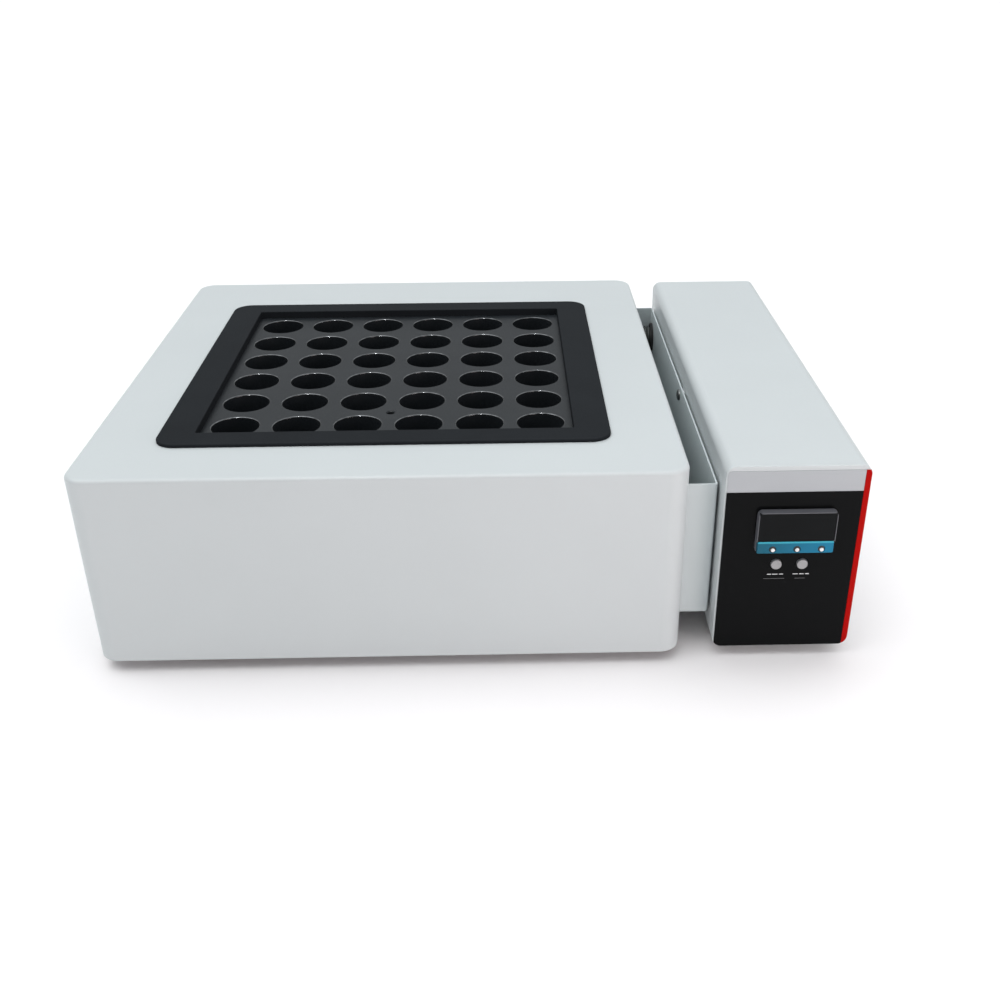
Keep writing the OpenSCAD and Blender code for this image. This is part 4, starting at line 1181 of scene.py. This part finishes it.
def rocker_cap():
    """The rocker: its dished face, and a round back about its axis."""
    half = ROCKER_HALF
    section = [(0, -half), (BROW - 0.5, -half), (BROW - 0.1, 0.15 - half)]
    for k in range(1, 16):
        v = -half + 0.4 + (2 * half - 0.8) * k / 16
        section.append((rocker_face(v), v))
    section += [(BROW - 0.1, half - 0.15), (BROW - 0.5, half), (0, half)]
    section += arc(0, 0, ROCKER_BACK_R, 90, 270, 24)
    bm = bmesh.new()
    add_solid(bm, [section], soft(-ROCKER_W / 2, ROCKER_W / 2, 0.3, 0.3, 3), tilted)
    made = to_object("rocker_cap", bm)
    piece(made, "rocker_red", "power_rocker", "rocker")


def rocker_marks():
    """A plain line and ring for on and off, flat on the rocker's face."""

    def on_face(v0):
        """A flat place on the face, v0 above its middle."""
        slope = math.radians(12.5) * (1 if v0 > 0 else -1)

        def place(a, b, h):
            u = rocker_face(v0) + b * math.sin(slope) + h * math.cos(slope)
            return tilted(u, v0 + b * math.cos(slope) - h * math.sin(slope), a)

        return place

    bm = bmesh.new()
    steps, mark_at = [(0, -0.3), (0, 0.06)], 4.4
    add_solid(bm, [rounded(0, 0, 0.6, 3.2, 0.2, 3)], steps, on_face(mark_at))
    rings = [circle(0, 0, 1.7, 32), hole(circle(0, 0, 1.2, 32))]
    add_solid(bm, rings, steps, on_face(-mark_at))
    piece(to_object("rocker_marks", bm), "label_white", body="rocker")


# ---------------- build

housing()
surround()
block()
heater_feet = (HEATER_X, 0), (HEATER_FEET_X, HEATER_FEET_Y)
feet("heater_feet", "housing_feet", *heater_feet, HEATER_FOOT_R)
bridge()
conduit()
bushings()
bridge_screws()
sleeve()
box_feet = (CTRL_X, CTRL_FEET_MID), (CTRL_FEET_X, CTRL_FEET_Y)
feet("box_feet", "controller_feet", *box_feet, CTRL_FOOT_R)
front_panel()
front_overlay()
red_edge()
pale_band()
labels()
meter_bezel()
display_window()
key_bar()
meter_keys()
push_buttons()
rear_plate()
rear_fixings()
inlet()
inlet_blades()
fuse_tray()
fuse_pair()
switch_bezel()
rocker_cap()
rocker_marks()

# every CAD node takes its slot's material; the ones that no piece replaces stay in view
slot_of = {part["node"]: part["material_slot"] for part in frame["record"]["subparts"]}
for name, node in frame["nodes"].items():
    node.data.materials.clear()
    node.data.materials.append(M[slot_of[name]])

# ---------------- stage

FLOOR_R = 9000.0
# the camera: metres, degrees, millimetres, and shifts as parts of the picture's width
CAMERA_PLACE = (0.02058, -0.79853, 0.42787)
CAMERA_TURN = (60.1616, 0.3169, -1.3126)
CAMERA_LENS, CAMERA_SHIFT = 41.949, (-0.0262, 0.0560)


def floor():
    """A pale floor, slightly uneven in tone."""
    g = Graph("floor")
    drift = g.spread(g.noise(3.0, 3.0), 0.0, 1.0)
    g.set(
        base_color=g.blend(drift, (0.940, 0.912, 0.912), (0.950, 0.922, 0.922)),
        roughness=g.spread(g.noise(40.0), 0.8, 0.9),
        specular_ior_level=0.1,
    )
    bm = bmesh.new()
    cap(bm, [ring(bm, circle(0, 0, FLOOR_R, 96), -0.1, upright())])
    made = to_object("floor", bm)
    made.data.materials.append(g.material)


def backdrop():
    """A pale wall round the floor's edge, seen by the camera but lighting nothing."""
    g = Graph("backdrop")
    drift = g.spread(g.noise(0.6, 2.0), 0.0, 1.0)
    pale = g.blend(drift, (0.93, 0.93, 0.93), (0.95, 0.95, 0.95))
    g.set(base_color=(0, 0, 0), specular_ior_level=0.0, emission_color=pale)
    g.set(emission_strength=1.0)
    bm = bmesh.new()
    edge = circle(0, 0, FLOOR_R, 96)
    band(bm, *[ring(bm, edge, h, upright()) for h in (-1000, FLOOR_R)])
    made = to_object("backdrop", bm)
    made.data.materials.append(g.material)
    made.visible_diffuse = made.visible_glossy = made.visible_shadow = False


def soft_light(name, azimuth, elevation, spread, power, colour=(1, 1, 1)):
    """A broad even light from one side of the sky, the same at every place."""
    lamp = bpy.data.lights.new(name, "SUN")
    lamp.angle, lamp.energy, lamp.color = math.radians(spread), power, colour
    made = bpy.data.objects.new(name, lamp)
    turn, rise = math.radians(azimuth), math.radians(elevation)
    level = math.cos(rise)
    source = Vector((level * math.sin(turn), level * math.cos(turn), math.sin(rise)))
    made.location = source * 2
    made.rotation_euler = source.to_track_quat("Z", "Y").to_euler()
    bpy.context.scene.collection.objects.link(made)
    return made


def near_light(name, place, size, power, colour):
    """A square soft box near the object, turned to it, so that its light falls off."""
    lamp = bpy.data.lights.new(name, "AREA")
    lamp.size, lamp.energy, lamp.color = size, power, colour
    made = bpy.data.objects.new(name, lamp)
    made.location = place
    made.rotation_euler = Vector(place).to_track_quat("Z", "Y").to_euler()
    made.visible_camera = False
    bpy.context.scene.collection.objects.link(made)


floor()
backdrop()
soft_light("top_back", 0, 78, 106, 1.76, (0.96, 0.99, 1.0))
soft_light("top_left", -95, 68, 50, 0.84, (0.96, 0.99, 1.0))
near_light("front_right", (0.75, -1.0, 0.20), 0.6, 4.2, (1.0, 0.87, 0.86))
glints = soft_light("glints", 190, 58, 5, 1.0)
glints.visible_diffuse = False

world = bpy.data.worlds.new("studio")
bpy.context.scene.world = world
world.use_nodes = True
sky = world.node_tree.nodes["Background"]
sky.inputs["Color"].default_value = (0.94, 0.97, 1.0, 1)
sky.inputs["Strength"].default_value = 0.40

lens = bpy.data.cameras.new("camera")
lens.sensor_width, lens.lens = 36.0, CAMERA_LENS
lens.shift_x, lens.shift_y = CAMERA_SHIFT
lens.clip_start, lens.clip_end = 0.05, 50.0
camera = bpy.data.objects.new("camera", lens)
camera.location = CAMERA_PLACE
camera.rotation_euler = [math.radians(angle) for angle in CAMERA_TURN]
bpy.context.scene.collection.objects.link(camera)
bpy.context.scene.camera = camera

bpy.context.scene.view_settings.view_transform = "Standard"
bpy.context.scene.view_settings.look = "None"
